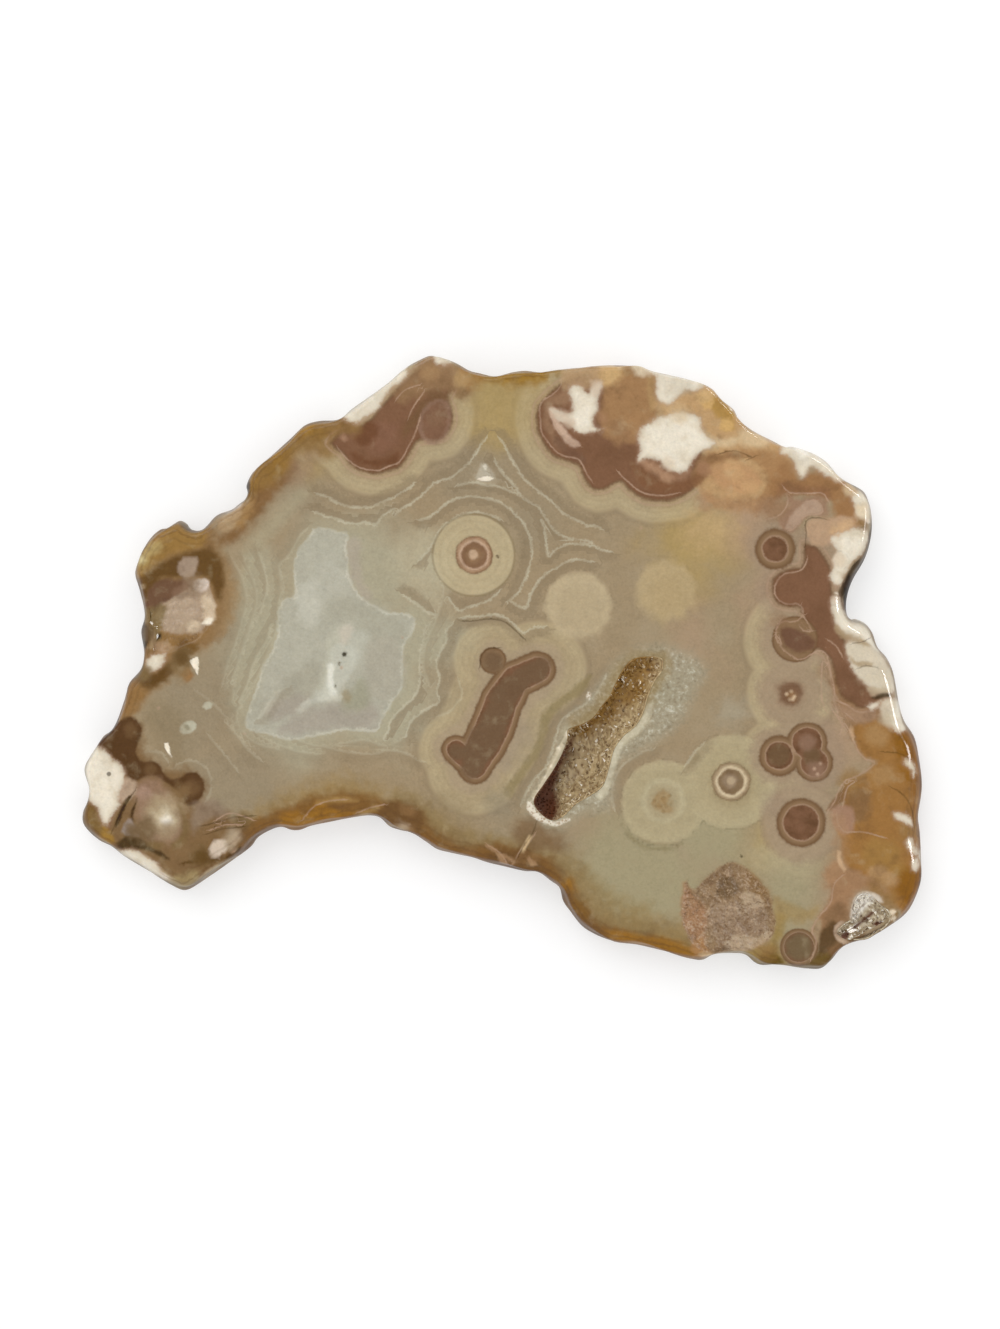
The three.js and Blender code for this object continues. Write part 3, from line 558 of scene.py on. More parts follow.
    ("#6b5841", 0.6, 0.85, "150,634,9"),
    ("#7d684c", 0.8, 0.9, "146,673,9; 186,658,9"),
    ("#866f50", 1.2, 0.75, "186,669,11"),
    ("#937d63", 0.9, 0.7, "171,830,9"),
    ("#6e583c", 0.9, 0.85, "205,854,10; 246,820,8"),
    ("#ab9a82", 0.6, 0.8, "228,836 236,826 244,828 240,842 232,848"),
    ("#87683f", 0.9, 0.8, "280,444 300,436 322,438 338,450 332,462 318,456 300,454 284,456; 268,482,8"),
    ("#8a6c4d", 1.0, 0.85, "462,394,10; 426,368,9"),
    ("#96702f", 1.2, 0.75, "488,373 520,371 548,369 546,382 524,388 500,386 488,382"),
    ("#7b6248", 1.0, 0.85, "512,822 530,815 545,826 553,838 541,849 526,846 514,836; 556,840,9"),
    ("#7b5930", 0.9, 0.8, "572,892 590,906 584,916 570,904"),
    ("#8a7f6b", 1.4, 0.6, "498,802,14"),
    ("#73573c", 1.0, 0.9, "848,935,12"),
    ("#8f6f47", 1.1, 0.8, "882,897,9; 906,826,12; 846,778,10; 762,947,9"),
    ("#a38064", 0.9, 0.7, "822,526,8; 702,502,9"),
    ("#8f755d", 0.9, 0.7, "822,670,9; 774,622,7"),
    ("#c5ab83", 1.0, 0.8, "640,370,8"),
    ("#7c623d", 0.4, 0.9, "88,801 97,804 103,813 107,824 106,832 98,832 91,820"),
    ("#7e6447", 0.8, 0.8, "186,790,8"),
    ("#917c66", 1.0, 0.8, "198,586,9"),
    ("#8d6c44", 1.0, 0.8, "870,885,9"),
    ("#66492e", 0.9, 0.85, "522,850,8"),
    ("#b3a088", 0.8, 0.8, "403,826,6"),
]
TOP_WASHES = [
    # Upper right, between and round the milky patches
    ("#9d7956", 0.7, 1, "592,364 640,362 656,378 656,400 655,418 640,432 632,446 618,444 606,440 598,424"
     " 602,404 600,388 588,378"),
    ("#8f6d51", 0.8, 0.6, "608,424 624,426 630,444 616,446"),
    ("#c6a576", 0.6, 0.9, "600,360 620,360 624,372 616,384 606,390 598,386 592,374"),
    ("#b19370", 0.6, 0.9, "566,364 586,364 600,372 596,384 584,389 572,391 562,384"),
    ("#e3d0b0", 0.22, 0.85, "612,362 640,364 638,369 614,369.5"),
    ("#8d6b48", 0.5, 0.7, "620,369 632,367 640,374 630,379 620,377"),
    ("#a78860", 0.3, 0.8, "646,377 655,375 656,400 650,416 646,400"),
    ("#b8966d", 0.9, 1, "656,404 668,404 680,396 690,394 700,386 716,388 738,410 760,430 780,440 786,452"
     " 784,470 774,490 758,500 738,504 716,503 702,495 692,483 698,466 706,452 716,448 706,440 698,430"
     " 694,420 676,416 660,420"),
    ("#a17b56", 0.6, 0.9, "700,466 708,458 724,454 740,452 760,452 776,456 788,462 794,476 784,492 766,500"
     " 752,502 764,486 760,470 744,460 724,462 708,472"),
    ("#8c6a4b", 0.5, 0.9, "690,484 696,466 704,457 714,456 740,456 742,460 720,461 706,470 700,487"),
    ("#b58d67", 0.7, 0.9, "708,470 722,465 738,467 754,474 758,486 744,495 728,493 712,485"),
    ("#c39d72", 0.5, 0.7, "722,468 736,468 742,476 732,482 722,478; 736,484 750,482 754,490 742,494"),
    ("#a6815e", 0.8, 0.85, "698,492 716,499 740,500 760,500 772,504 758,512 730,512 704,505"),
    ("#ceb692", 0.5, 0.8, "738,432 756,434 766,446 752,450 738,446; 698,436 716,441 736,440 732,447"
     " 716,448 702,446"),
    ("#a9854c", 0.4, 0.95, "705,404 714,397 724,402 736,414 731,422 730,432 722,433 718,424 709,414"),
    ("#caa56e", 0.3, 0.9, "717,422 726,420 730,428 726,434 719,432; 700,404 710,402 708,412 700,412"),
    ("#cbaa7a", 0.5, 0.8, "694,398 702,391 712,394 708,402 698,405"),
    ("#c0a178", 0.6, 0.7, "656,406 668,406 680,410 690,412 680,416 662,418"),
    # Brown between the milky patches at the upper right corner
    ("#98724f", 0.6, 1, "782,464 794,481 806,474 816,474 832,480 848,482 852,496 853,508 859,522 849,530"
     " 838,537 828,532 830,516 824,500 800,495 784,493 768,502 766,482"),
    ("#896449", 0.6, 0.9, "778,484 792,486 808,488 824,490 827,500 806,497 784,498 774,502"),
    ("#8f6e54", 0.8, 0.75, "760,500 782,500 788,512 778,522 764,520 754,510"),
    ("#957560", 0.5, 0.85, "784,501 800,500 818,498 824,508 820,518 808,517 798,522 788,533 778,530"
     " 776,520 784,512"),
    ("#ad937e", 0.28, 0.95, "800,503 812,502 817,508 818,514 808,516 800,518 794,526 788,531 782,530"
     " 785,520 790,513 796,508"),
    ("#b4967a", 0.35, 0.95, "803,522 812,519 824,520 838,517 850,523 847,532 836,539 826,545 814,547"
     " 806,543 802,533"),
    ("#c6a47e", 0.6, 0.85, "826,530 838,523 852,525 845,534 834,540 826,540"),
    # Shades inside the lobes
    ("#835f4e", 0.9, 0.6, "368,432 384,424 398,430 396,446 384,456 370,450"),
    ("#6a4633", 0.5, 0.8, "352,454 366,460 384,462 400,456 400,463 388,468 368,467 356,462; 360,430"
     " 374,424 380,434 370,448 358,446"),
    ("#8e7053", 0.9, 0.9, "400,388 418,374 436,363 452,366 467,376 463,388 448,395 430,396 412,403 398,403"),
    ("#9d7d5b", 0.6, 0.85, "424,372 434,368 442,374 434,382 424,382"),
    ("#a88a62", 0.5, 0.9, "454,378 461,373 468,376 471,386 463,392 455,388"),
    ("#72563f", 0.5, 0.8, "428,396 440,393 449,402 445,411 434,407; 404,432 412,418 422,405 431,403"
     " 425,418 414,430 406,441"),
    ("#8f7262", 0.25, 0.65, "423,413 431,405 441,402 449,406 452,418 450,432 444,443 434,447 424,444"
     " 420,434 420,422"),
    ("#7a5a48", 0.25, 0.9, "426,415 433,408 441,405 447,409 449,419 447,431 441,440 433,443 427,440"
     " 424,432 423,423"),
    ("#80624e", 0.5, 0.9, "436,423,8"),
    ("#93693a", 1, 0.6, "464,368 480,372 492,376 486,384 472,390"),
    ("#896a45", 0.7, 0.9, "330,424 346,418 358,424 366,430 354,438 342,436 332,440"),
    ("#a58269", 0.4, 0.8, "346,440,3.5"),
    ("#7b563f", 0.6, 0.8, "630,464 642,470 656,480 670,484 688,480 700,466 705,471 697,485 681,493 660,495"
     " 643,489 632,476"),
    ("#a9866b", 0.4, 0.75, "637,461 650,465 662,474 672,479 668,484 656,478 644,468"),
    ("#91725a", 0.45, 0.85, "546,402 556,397 564,391 569,398 566,408 555,407 549,416 551,428 557,440"
     " 566,450 560,453 550,441 543,424"),
    ("#6f5243", 0.4, 0.7, "556,436 566,448 582,456 586,464 576,464 562,456 552,442"),
    ("#c9ad98", 0.25, 0.85, "549,412 556,411 558,422 564,432 572,440 579,446 570,449 562,441 553,428"),
    ("#a28566", 0.5, 0.85, "562,388 574,380 590,378 598,387 590,393 576,391 566,396"),
    # The eye with a ragged dark rim, and the pale ringed tube
    ("#7d5d47", 0.14, 0.9, "474.5,556,18.4"),
    ("#a98b70", 0.14, 0.85, "474.5,556,17.2"),
    ("#c4a78f", 0.1, 0.85, "474.5,556,14.8"),
    ("#80624c", 0.12, 1, "474.5,556,13"),
    ("#8d7055", 0.3, 0.7, "474.5,556,8"),
    ("#bfa388", 0.18, 0.95, "474,555.5,4.6"),
    ("#7f6a52", 0.12, 0.85, "728,779.5,19.3"),
    ("#a18d71", 0.12, 0.95, "728,779.5,17.8"),
    ("#cdbb9c", 0.14, 0.95, "728,779.5,15.4"),
    ("#7a644c", 0.14, 0.95, "728,779.5,12.6"),
    ("#94806a", 0.3, 0.9, "727,779.5,7.5"),
    ("#b8a387", 0.2, 0.9, "728,779,4.2"),
    # Cores and bodies of some tubes
    ("#6d5744", 0.4, 0.85, "541,657 550,662 549,671 541,681 530,684 521,694 514,706 507,724 502,738"
     " 497,748 488,760 482,771 474,778 464,774 462,760 468,735 478,722 486,708 491,694 498,682 510,674"
     " 524,664; 493,661,10; 458,750,8"),
    ("#6f6049", 0.5, 0.8, "795,943,14"),
    ("#6a543f", 0.3, 0.8, "775,753,11; 808,755,9"),
    ("#8f7260", 0.5, 0.7, "803,740,8; 812,768,9"),
    ("#8d7049", 0.2, 0.6, "655,794,2; 661,797,2.6; 667,793,1.8; 664,802,2.4; 657,803,1.9; 652,799,1.4; 669,800,1.5;"
     " 661,790,1.4; 660,808,1.4"),
    ("#8c725d", 0.9, 0.85, "786.5,693,13"),
    ("#6f5240", 0.4, 0.85, "786.5,693,11.5"),
    ("#8d6a4b", 0.4, 0.7, "788,695,5"),
    ("#d6bc9c", 0.1, 0.9, "783,693.5,1.5; 790,696,2; 788.5,691,1.3; 792.5,692,1.1; 785,698,1.1; 789,699.5,1; 781,689,0.9"),
    ("#6c4e40", 0.35, 0.9, "778,629 786,628 796,631 806,635 812,641 808,648 800,651 790,651 782,646"
     " 777,638"),
    # Painted shade on the dark visible wall and shaded folds at the right, and a painted highlight strip along the wall
    ("#43331f", 0.25, 0.97, "867,534 880,530 878,548 870,562 860,578 856,596 858,612 850,619 843,617"
     " 838,610 835,601 834,592 838,584 844,573 850,563 858,556 863,548"),
    ("#1d130a", 0.3, 0.9, "842,582 846,576 850,590 850,604 845,610 840,604 839,592"),
    ("#6a5a44", 0.3, 0.8, "864,540 874,536 872,552 864,562 858,560"),
    # Painted highlight: a lit strip along the wall
    ("#c9bda6", 0.35, 0.9, "858,532 864,536 862,545 857,553 850,558 845,566 840,574 836,582 832,586"
     " 836,574 842,562 850,552 856,542"),
    # Round the corner pocket, and painted shade in the deepest pits of the heart
    ("#d9cfc1", 0.3, 0.8, "846,914 848,900 852,892 861,888 871,891 878,898 872,899 864,896 856,900 853,908"
     " 850,919"),
    ("#bfa68f", 0.2, 0.9, "830,922 838,917 843,922 838,929 841,935 850,939 838,940 831,934"),
    ("#856740", 0.3, 0.85, "884,904 892,908 896,914 888,924 876,932 862,938 850,940 862,934 876,928"
     " 884,918"),
    # Painted shade: near-black in the small pits of the heart
    ("#1d1810", 0.1, 0.9, "344,652 347,651 350,653 347,656 345,657"),
    ("#5d5746", 0.14, 0.9, "340,661 343,660 343,664 340,664; 337,684 340,685 339,688 337,688"),
    # Small sharp chips of white and glassy quartz, and painted glints on chipped edges of the rim
    ("#efe4d0", 0.08, 0.95, "193.5,660 203,656 202.5,664 201.5,676 198,668; 168.5,741 171,739.5 173.5,745"
     " 175,752 178,759 174,754 170,748; 477,481 485,478 494,480 490,483 481,483"),
    # Painted glints: tiny bright discs on chipped edges of the rim
    ("#f6ecd8", 0.1, 0.9, "717,396,1.6; 722,400,1.3; 731,411,2; 736,419,1.8; 853,485,2.2; 864,523,2.8;"
     " 832,593,1.8; 863,539,1.7"),
    ("#dccbb2", 0.12, 0.9, "882,908 890,905 892,908 884,911; 884,914 892,912 891,916 884,917"),
    ("#c9ab92", 0.1, 0.8, "812,757,1.4; 816,762,1.2; 810,766,1.6; 818,752,1; 806,771,1.1; 813,772,0.9"),
    ("#c9bca2", 0.16, 0.85, "571,730 565.5,739 561,749 556.5,759 551.5,770 545.5,781 539.5,791 534,799 529.5,798"
     " 534.5,788 540.5,778 546.5,768 551.5,757 556.5,747 561.5,737 567,728"),
    ("#efe3cd", 0.12, 0.8, "558,746,2.2; 550,764,1.8; 566,733,2; 545,775,1.6; 537,788,1.7; 533,796,1.5"),
]
LAST_WASHES = [
    # Grey-tan folds in the milky patches
    ("#c7baa3", 0.6, 0.75, "842,646 856,642 870,646 880,658 886,676 884,690 868,686 854,676 850,666"),
    ("#a58f70", 0.25, 0.75, "830,624 838,630 848,634 860,640 868,646 858,645 846,641 838,638 832,632;"
     " 849,664 856,661 864,661 869,665 862,665 855,667; 846,654 850,660 858,663 848,664"),
    ("#b9a88f", 0.5, 0.7, "876,702 884,702 886,714 886,728 880,722 876,712"),
    ("#c7b29c", 0.5, 0.7, "550,411 562,414 572,420 574,430 562,426 552,418; 590,386 600,385 598,396"
     " 592,402"),
    ("#b28c70", 0.5, 0.4, "636,464 648,463 660,470 676,477 688,472 684,480 668,482 650,474"),
    ("#c3b8a4", 0.7, 0.5, "660,380 680,380 690,388 676,398 664,400; 786,450 800,450 812,458 800,466"
     " 790,460; 352,415 366,406 380,394 390,384 384,396 370,412 358,421"),
    ("#8c6e4b", 0.2, 0.8, "853,519 859,521 862,527 857,528 853,525"),
    ("#b9a78c", 0.35, 0.8, "862,686 874,687 885,689 884,693 872,695 864,694"),
    ("#cdb796", 0.6, 0.75, "846,490,7; 857,511,6"),
    ("#c2b49b", 0.5, 0.7, "882,718,7"),
    ("#d8c8b1", 0.5, 0.75, "834,562,6; 834,478,6; 666,466,6"),
    ("#ddceb3", 0.8, 0.8, "641,370,9; 858,513,6"),
    ("#cfb895", 1.0, 0.6, "678,418,8"),
    ("#f0eadd", 0.6, 0.8, "799,453,7"),
    ("#d8c8b1", 0.4, 0.7, "835,561,7"),
    # Lighter swirls and pinkish, crinkled places beside the lobes and eyes of the right side
    ("#a17b5e", 0.5, 0.7, "600,421,5; 701,470,7"),
    ("#84674f", 0.5, 0.6, "780,621,5"),
    ("#745a3f", 0.5, 0.8, "842,925,6; 849,934,7; 838,930,4"),
    ("#5a4124", 0.6, 0.7, "186,658,8; 205,854,7"),
    ("#7a6444", 0.5, 0.75, "149,672,7"),
    ("#cfbca7", 0.3, 0.7, "830,600,3.5"),
    ("#a38162", 1.0, 0.55, "826,812 838,812 842,830 842,850 838,868 828,880 820,886 818,872 826,852 830,834"),
    ("#cfae8b", 0.2, 0.65, "833,847 836,847 836,856 839,862 842,868 838,868 834,860; 846,722 848,730 851,738"
     " 849,740 845,731"),
    # Dark edge below the large halo, and the pale and dark crack with its curly folds by the lower edge
    ("#7f7455", 0.25, 0.6, "621,822 628,831 636,838 647,843 660,844.5 672,843 681,839 674,845 660,847.5"
     " 646,846 634,841 625,832"),
    ("#cdb28a", 0.15, 0.8, "533,829 531,836 527,843 523,850 520,849 524,841 528,833"),
    ("#7a5c40", 0.3, 0.7, "523,848 528,850 521,856 514,862 509,860 515,854"),
    ("#a98868", 0.15, 0.65, "483,841 490,842 496,846 500,852 506,858 509,863 505,864 499,857 494,850 488,846;"
     " 497,852 502,850 508,852 513,856 516,861 512,861 507,856 501,854; 526,852 532,856 537,862 533,864"
     " 528,860"),
]

# White crust on the lip of each hollow
CRUSTS = """
    528,798 526,804 529.5,810 536,816.5 546,821 555,823.5 563,820.5 571,816 563,816.5 555,819 546,816.5
    538,811 532.5,804.5 531,798;
    588,690 585,695 587,699 590,695
"""

# Grainy quartz that shows in the face beside the vug
QUARTZ_HALO = """
    524,800 531,784 545,768 552,748 560,724 580,705 598,680 612,662 632,650 664,646 690,654 704,672 694,690
    682,716 660,738 634,752 618,764 612,790 608,808 588,810 566,822 548,826 530,812
"""

# Soft clouds of tint in the ground, and small round marks, each as discs
CLOUDS = {
    "grey_cloud": "370,570,52 330,650,60 430,640,40 300,740,30 395,700,50 220,600,20 255,640,34 425,565,26",
    "taupe_cloud": "205,700,55 240,780,50 300,500,30 480,470,40 530,520,30 560,700,24 240,640,20"
        " 530,840,40",
    "olive_cloud": "500,400,46 690,540,48 760,840,20 310,455,20",
    "sage_cloud": "640,870,66 700,830,50 790,890,40 650,690,10",
    "rosy_cloud": "742,520,30 840,742,24 835,895,26 690,640,20 760,600,20",
}
DOTS = {
    "pale_dot": "639,529,1.6 248,732,1.5 163,707,1.8 343.5,667,1.6 403.5,637,1.4",
    "dark_dot": "497.5,557.5,2 738,853,1.8 114,772,2.2",
}
REGIONS = {"pool": POOL, "white": WHITES, "cleft": DARKS, "worn": ROUGH_PATCH, "quartz": QUARTZ_HALO,
           "crust": CRUSTS}

# In the open hollow: where its crystals are stained brown, and its deep shaded side
VUG_STAINS = "596,702,27 622,682,26 640,664,16 583,724,15"
VUG_SHADE = """
    573,735 567,740 560,748 554,758 547,770 540,782 532,794 529,800 536,812 546,820 554,819 558,812 558,800
    556,788 559,774 563,762 568,752 573,742
"""
# In the corner pocket: its glassy white side, painted bright as glare, and painted shade in the gaps between its
# crystals
CORNER_GLARE = "847,913 849,899 853,891 861,888 869,891 869,900 862,906 856,914 850,921"
CORNER_GAPS = """
    849,925 856,919 862,914 868,908 872,908 866,915 858,921 850,927;
    835,933 840,929 846,928 844,934 838,937; 868,921 875,918 881,919 873,923
"""

TOP_SPACING_MM = 0.436
UNDER_SPACING_MM = 1.4
FINE_SPACING_MM = 0.22
FINE_PLACES = """
    474.5,556,22 728,779.5,22 341,662,24 487,476,12 190,620,62 195,712,24 150,800,72 600,430,56 700,440,56
    795,500,50 800,600,50 850,690,36 870,830,56 840,915,44 725,905,52 385,430,46
"""
OUTLINE_POINTS = 1040
POINTS_PER_SPAN = 24
LOOP_STEP_MM = 0.7
LINE_STEP_MM = 0.5
FIELD_REACH_MM = 8.0
LINE_REACH_MM = 3.0
BAND_LEAN = np.array((0.12, -0.08))
SWAY_SIZE_MM = 3.2
SWAY_SHARE = 0.5
RIM_SHADE_WIDTH_MM = 1.0
OUTLINE_PLAY = 0.9997
GLOSS_SHARE = np.array((0.013, 0.016, 0.022))
STEEP_RIM = 0.78
WANDER_SIZE_MM = 1.3
WANDER_SHARE = 0.5
WANDER_LEAST_MM = 0.08
LUMP_SIZE_MM = 0.9
CRUST_GAP_MM = 0.03
CRUST_BED_MM = 0.16
BED_TONE_SIZE_MM = 0.4
CRUST_BELOW_FACE_MM = 0.05
FLOOR_REACH = 3.0
FLOOR_GLOW = 0.5
CAMERA_AT = (-0.33 * MM, -0.3 * MM, 0.4508)
INSET_STEPS = 40
INSET_SOFTENING = 0.3
WIDEST_HEIGHT_MM = 2.2
LUMP_START_MM = 2.0
SHOULDER_RINGS = 10
UNDER_RINGS = 5
HOLLOW_PROFILE = [(0.12, 1.0, 0.0), (0.5, 0.9, 0.2), (0.8, 0.62, 0.8), (0.97, 0.22, 0.6), (1.0, 0.0, 0.0)]
HOLLOW_RINGS = 22
STEEP_WALL_REACH_MM = 3.0


def linear(hex_colour):
    """An sRGB hex value as linear red, green, blue and alpha."""
    values = [int(hex_colour[i:i + 2], 16) / 255 for i in (1, 3, 5)]
    return [v / 12.92 if v <= 0.04045 else ((v + 0.055) / 1.055) ** 2.4 for v in values] + [1.0]


def colour_property(name, description, hex_colour):
    return bpy.props.FloatVectorProperty(
        name=name, description=description, subtype="COLOR", size=4, min=0, max=1, default=linear(hex_colour))


class AgateSizes(bpy.types.PropertyGroup):
    """Sizes that shape the visible stone, in metres."""

    under_rounding: bpy.props.FloatProperty(
        name="Underside rounding", description="How far the worn lower edge curves in under the slab",
        default=0.9 * MM, unit="LENGTH")
    lump_depth: bpy.props.FloatProperty(
        name="Rind lump depth", description="Depth of the hollows between the rind's worn lumps",
        default=0.4 * MM, unit="LENGTH")
    lump_spacing: bpy.props.FloatProperty(
        name="Rind lump spacing", description="Distance from one lump of the rind to the next",
        default=5.5 * MM, unit="LENGTH")
    crystal_width: bpy.props.FloatProperty(
        name="Crystal width", description="Width of a quartz crystal in the open hollow",
        default=0.42 * MM, unit="LENGTH")
    corner_crystal_width: bpy.props.FloatProperty(
        name="Corner crystal width", description="Width of a quartz crystal in the corner pocket",
        default=0.42 * MM, unit="LENGTH")


class AgateColours(bpy.types.PropertyGroup):
    """Colours of the stone and its crystals."""

    ground: colour_property("Ground", "Grey-beige chalcedony between the markings", "#9a886d")
    grey_cloud: colour_property("Grey cloud", "Cool grey ground", "#a9a38c")
    taupe_cloud: colour_property("Taupe cloud", "Brown-grey ground", "#94866f")
    olive_cloud: colour_property("Olive cloud", "Yellow-green ground", "#a8905f")
    sage_cloud: colour_property("Sage cloud", "Pale green-grey ground", "#9f9678")
    rosy_cloud: colour_property("Rosy cloud", "Pinkish ground", "#a98e75")
    growth_line: colour_property("Growth line", "Thin whitish lines where growth paused", "#bdb6a0")
    growth_shade: colour_property("Growth shade", "Darker band that lies against a growth line", "#877760")
    pool: colour_property("Heart", "Grey chalcedony that closed the agate", "#afac9d")
    pool_edge: colour_property("Heart edge", "Bright edge of the heart", "#cbc8b8")
    beige: colour_property("Beige band", "Band round tubes and lobes", "#b1a07f")
    cream: colour_property("Cream halo", "Cream halo round the round eyes", "#bbac8b")
    cream_edge: colour_property("Halo edge", "Thin dark line round a halo", "#857759")
    lavender: colour_property("Lavender halo", "Mauve-grey halo round the tubes at the right", "#9b8671")
    quartz_halo: colour_property("Quartz halo", "Blue-grey grainy quartz beside the open hollow", "#a19a85")
    mauve: colour_property("Mauve", "Mauve-brown lobes and tube cores", "#7d5b47")
    mauve_dark: colour_property("Dark mauve", "Darkest part of tubes and lobes", "#5c4130")
    tube_body: colour_property("Tube body", "Brown zone just inside a tube's edge", "#84694f")
    pink_line: colour_property("Pink line", "Pale line inside the edge of tubes and lobes", "#b0937d")
    brown: colour_property("Brown fade", "Brown that fades out round the lobes", "#93745a")
    white: colour_property("White", "Milky opal-white patches", "#e5dcca")
    milk_shade: colour_property("Milk shade", "Grey-tan shade in the milky patches", "#c8bba4")
    cleft: colour_property("Cleft", "Near-black clefts and shaded folds", "#2e2116")
    rough: colour_property("Rough patch", "Worn granular patch", "#80644a")
    rough_pale: colour_property("Pale grains", "Pale grains of the worn patch", "#ad957c")
    crystal_pale: colour_property("Pale crystal", "Sugary quartz of the open hollow", "#c0aa82")
    crystal_brown: colour_property("Brown crystal", "Iron-stained quartz of the open hollow", "#9b7840")
    crystal_white: colour_property("White crystal", "Quartz of the corner pocket", "#c6b89c")
    # Painted glare: the colour of the bright side of the corner pocket
    crystal_glare: colour_property("Crystal glare", "Bright side of the corner pocket", "#f4eee2")
    floor: colour_property("Floor", "Plain pale floor", "#bcbcbc")


def numbers(path):
    """The points of a drawn path, "x,y x,y ...", as lists of numbers."""
    return [[float(v) for v in point.split(",")] for point in path.split()]


def spline(points, closed):
    """Dense points on a smooth curve through the given points (centripetal Catmull-Rom)."""
    knots = np.asarray(points, float)
    if not closed:
        knots = np.vstack([2 * knots[0] - knots[1], knots, 2 * knots[-1] - knots[-2]])
    before, start, end, after = (np.roll(knots, shift, axis=0) for shift in (1, 0, -1, -2))
    if not closed:
        before, start, end, after = (p[1:-2] for p in (before, start, end, after))
    t1 = np.linalg.norm(start - before, axis=1) ** 0.5
    t2 = t1 + np.linalg.norm(end - start, axis=1) ** 0.5
    t3 = t2 + np.linalg.norm(after - end, axis=1) ** 0.5
    share = np.linspace(0, 1, POINTS_PER_SPAN, endpoint=False)[None, :, None]
    t1, t2, t3 = (t[:, None, None] for t in (t1, t2, t3))
    t = t1 + (t2 - t1) * share
    before, start, end, after = (p[:, None, :] for p in (before, start, end, after))
    a1 = (t1 - t) / t1 * before + t / t1 * start
    a2 = (t2 - t) / (t2 - t1) * start + (t - t1) / (t2 - t1) * end
    a3 = (t3 - t) / (t3 - t2) * end + (t - t2) / (t3 - t2) * after
    b1 = (t2 - t) / t2 * a1 + t / t2 * a2
    b2 = (t3 - t) / (t3 - t1) * a2 + (t - t1) / (t3 - t1) * a3
    dense = ((t2 - t) / (t2 - t1) * b1 + (t - t1) / (t2 - t1) * b2).reshape(-1, 2)
    return np.vstack([dense, dense[:1] if closed else knots[-2:-1]])


def even_points(line, step=None, count=None, closed=False):
    """Points evenly spaced along a line, by number or by the distance between them."""
    along = np.concatenate([[0], np.cumsum(np.linalg.norm(np.diff(line, axis=0), axis=1))])
    count = count or max(3, round(along[-1] / step))
    stations = np.linspace(0, along[-1], count, endpoint=not closed)
    return np.column_stack([np.interp(stations, along, line[:, axis]) for axis in (0, 1)])


# The photograph's pixels become millimetres here: the outline's box is laid on the slab's own box
SLAB_LOW, SLAB_HIGH = (np.array(corner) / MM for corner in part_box("agate_slab"))
THICKNESS_MM = SLAB_HIGH[2] - SLAB_LOW[2]
SILHOUETTE_PX = even_points(spline(numbers(OUTLINE_PX), True), count=OUTLINE_POINTS, closed=True)
CENTRE_PX = (SILHOUETTE_PX.min(0) + SILHOUETTE_PX.max(0)) / 2
MM_PER_PX = (SLAB_HIGH[0] - SLAB_LOW[0]) / np.ptp(SILHOUETTE_PX[:, 0])


def plan(points):
    """Points in pixels as millimetres on the slab's plan."""
    return (np.asarray(points, float) - CENTRE_PX) * MM_PER_PX * (1, -1)


def smooth_loop(path, count=None):
    """A smooth closed curve through a path's points, in millimetres, anticlockwise seen from above."""
    loop = even_points(plan(spline(numbers(path), True)), LOOP_STEP_MM, count, closed=True)
    after = np.roll(loop, -1, axis=0)
    area = np.sum(loop[:, 0] * after[:, 1] - loop[:, 1] * after[:, 0])
    return loop if area > 0 else loop[::-1]


def smooth_line(path):
    """A smooth open line through a path's points, in millimetres."""
    return even_points(plan(spline(numbers(path), False)), LINE_STEP_MM)


def line_distance(places, line, closed, reach):
    """Distance from each place to a line, no more than reach, and the side of it: 1 to the left, -1 to the right."""
    distance = np.full(len(places), float(reach))
    side = np.ones(len(places))
    near = np.all((places > line.min(0) - reach) & (places < line.max(0) + reach), axis=1)
    spots, best, left = places[near], distance[near], side[near]
    for start, end in zip(line if closed else line[:-1], np.roll(line, -1, axis=0)):
        along = end - start
        from_start = spots - start
        share = np.clip(from_start @ along / max(along @ along, 1e-12), 0, 1)
        away = from_start - share[:, None] * along
        gap = np.hypot(away[:, 0], away[:, 1])
        nearer = gap < best
        best[nearer] = gap[nearer]
        left[nearer] = np.sign(along[0] * from_start[nearer, 1] - along[1] * from_start[nearer, 0])
    distance[near], side[near] = best, left
    return distance, side


def inside(places, loop):
    """Which places lie inside a closed loop."""
    result = np.zeros(len(places), bool)
    near = np.all((places > loop.min(0)) & (places < loop.max(0)), axis=1)
    x, y = places[near].T
    crossed = np.zeros(len(x), bool)
    for a, b in zip(loop, np.roll(loop, -1, axis=0)):
        if a[1] != b[1]:
            crossed ^= ((a[1] > y) != (b[1] > y)) & (x < (b[0] - a[0]) * (y - a[1]) / (b[1] - a[1]) + a[0])
    result[near] = crossed
    return result


def region_distance(places, loop, reach=FIELD_REACH_MM):
    """Distance in millimetres to a region's edge, negative inside it, no more than reach."""
    distance = line_distance(places, loop, True, reach)[0]
    return np.where(inside(places, loop), -distance, distance)


def chain_distance(places, discs):
    """Distance in millimetres to a chain of discs joined by tapered stretches, negative inside it."""
    discs = np.array(numbers(discs))
    centres, radii = plan(discs[:, :2]), discs[:, 2] * MM_PER_PX
    result = np.linalg.norm(places - centres[0], axis=1) - radii[0]
    for start, end, r0, r1 in zip(centres, centres[1:], radii, radii[1:]):
        along = end - start
        share = np.clip((places - start) @ along / (along @ along), 0, 1)
        away = np.linalg.norm(places - start - share[:, None] * along, axis=1)
        result = np.minimum(result, away - (r0 + (r1 - r0) * share))
    return result


def nearest(distances):
    return np.min(np.vstack(list(distances)), axis=0)


def regions_distance(places, paths):
    return nearest(region_distance(places, smooth_loop(path)) for path in paths.split(";"))


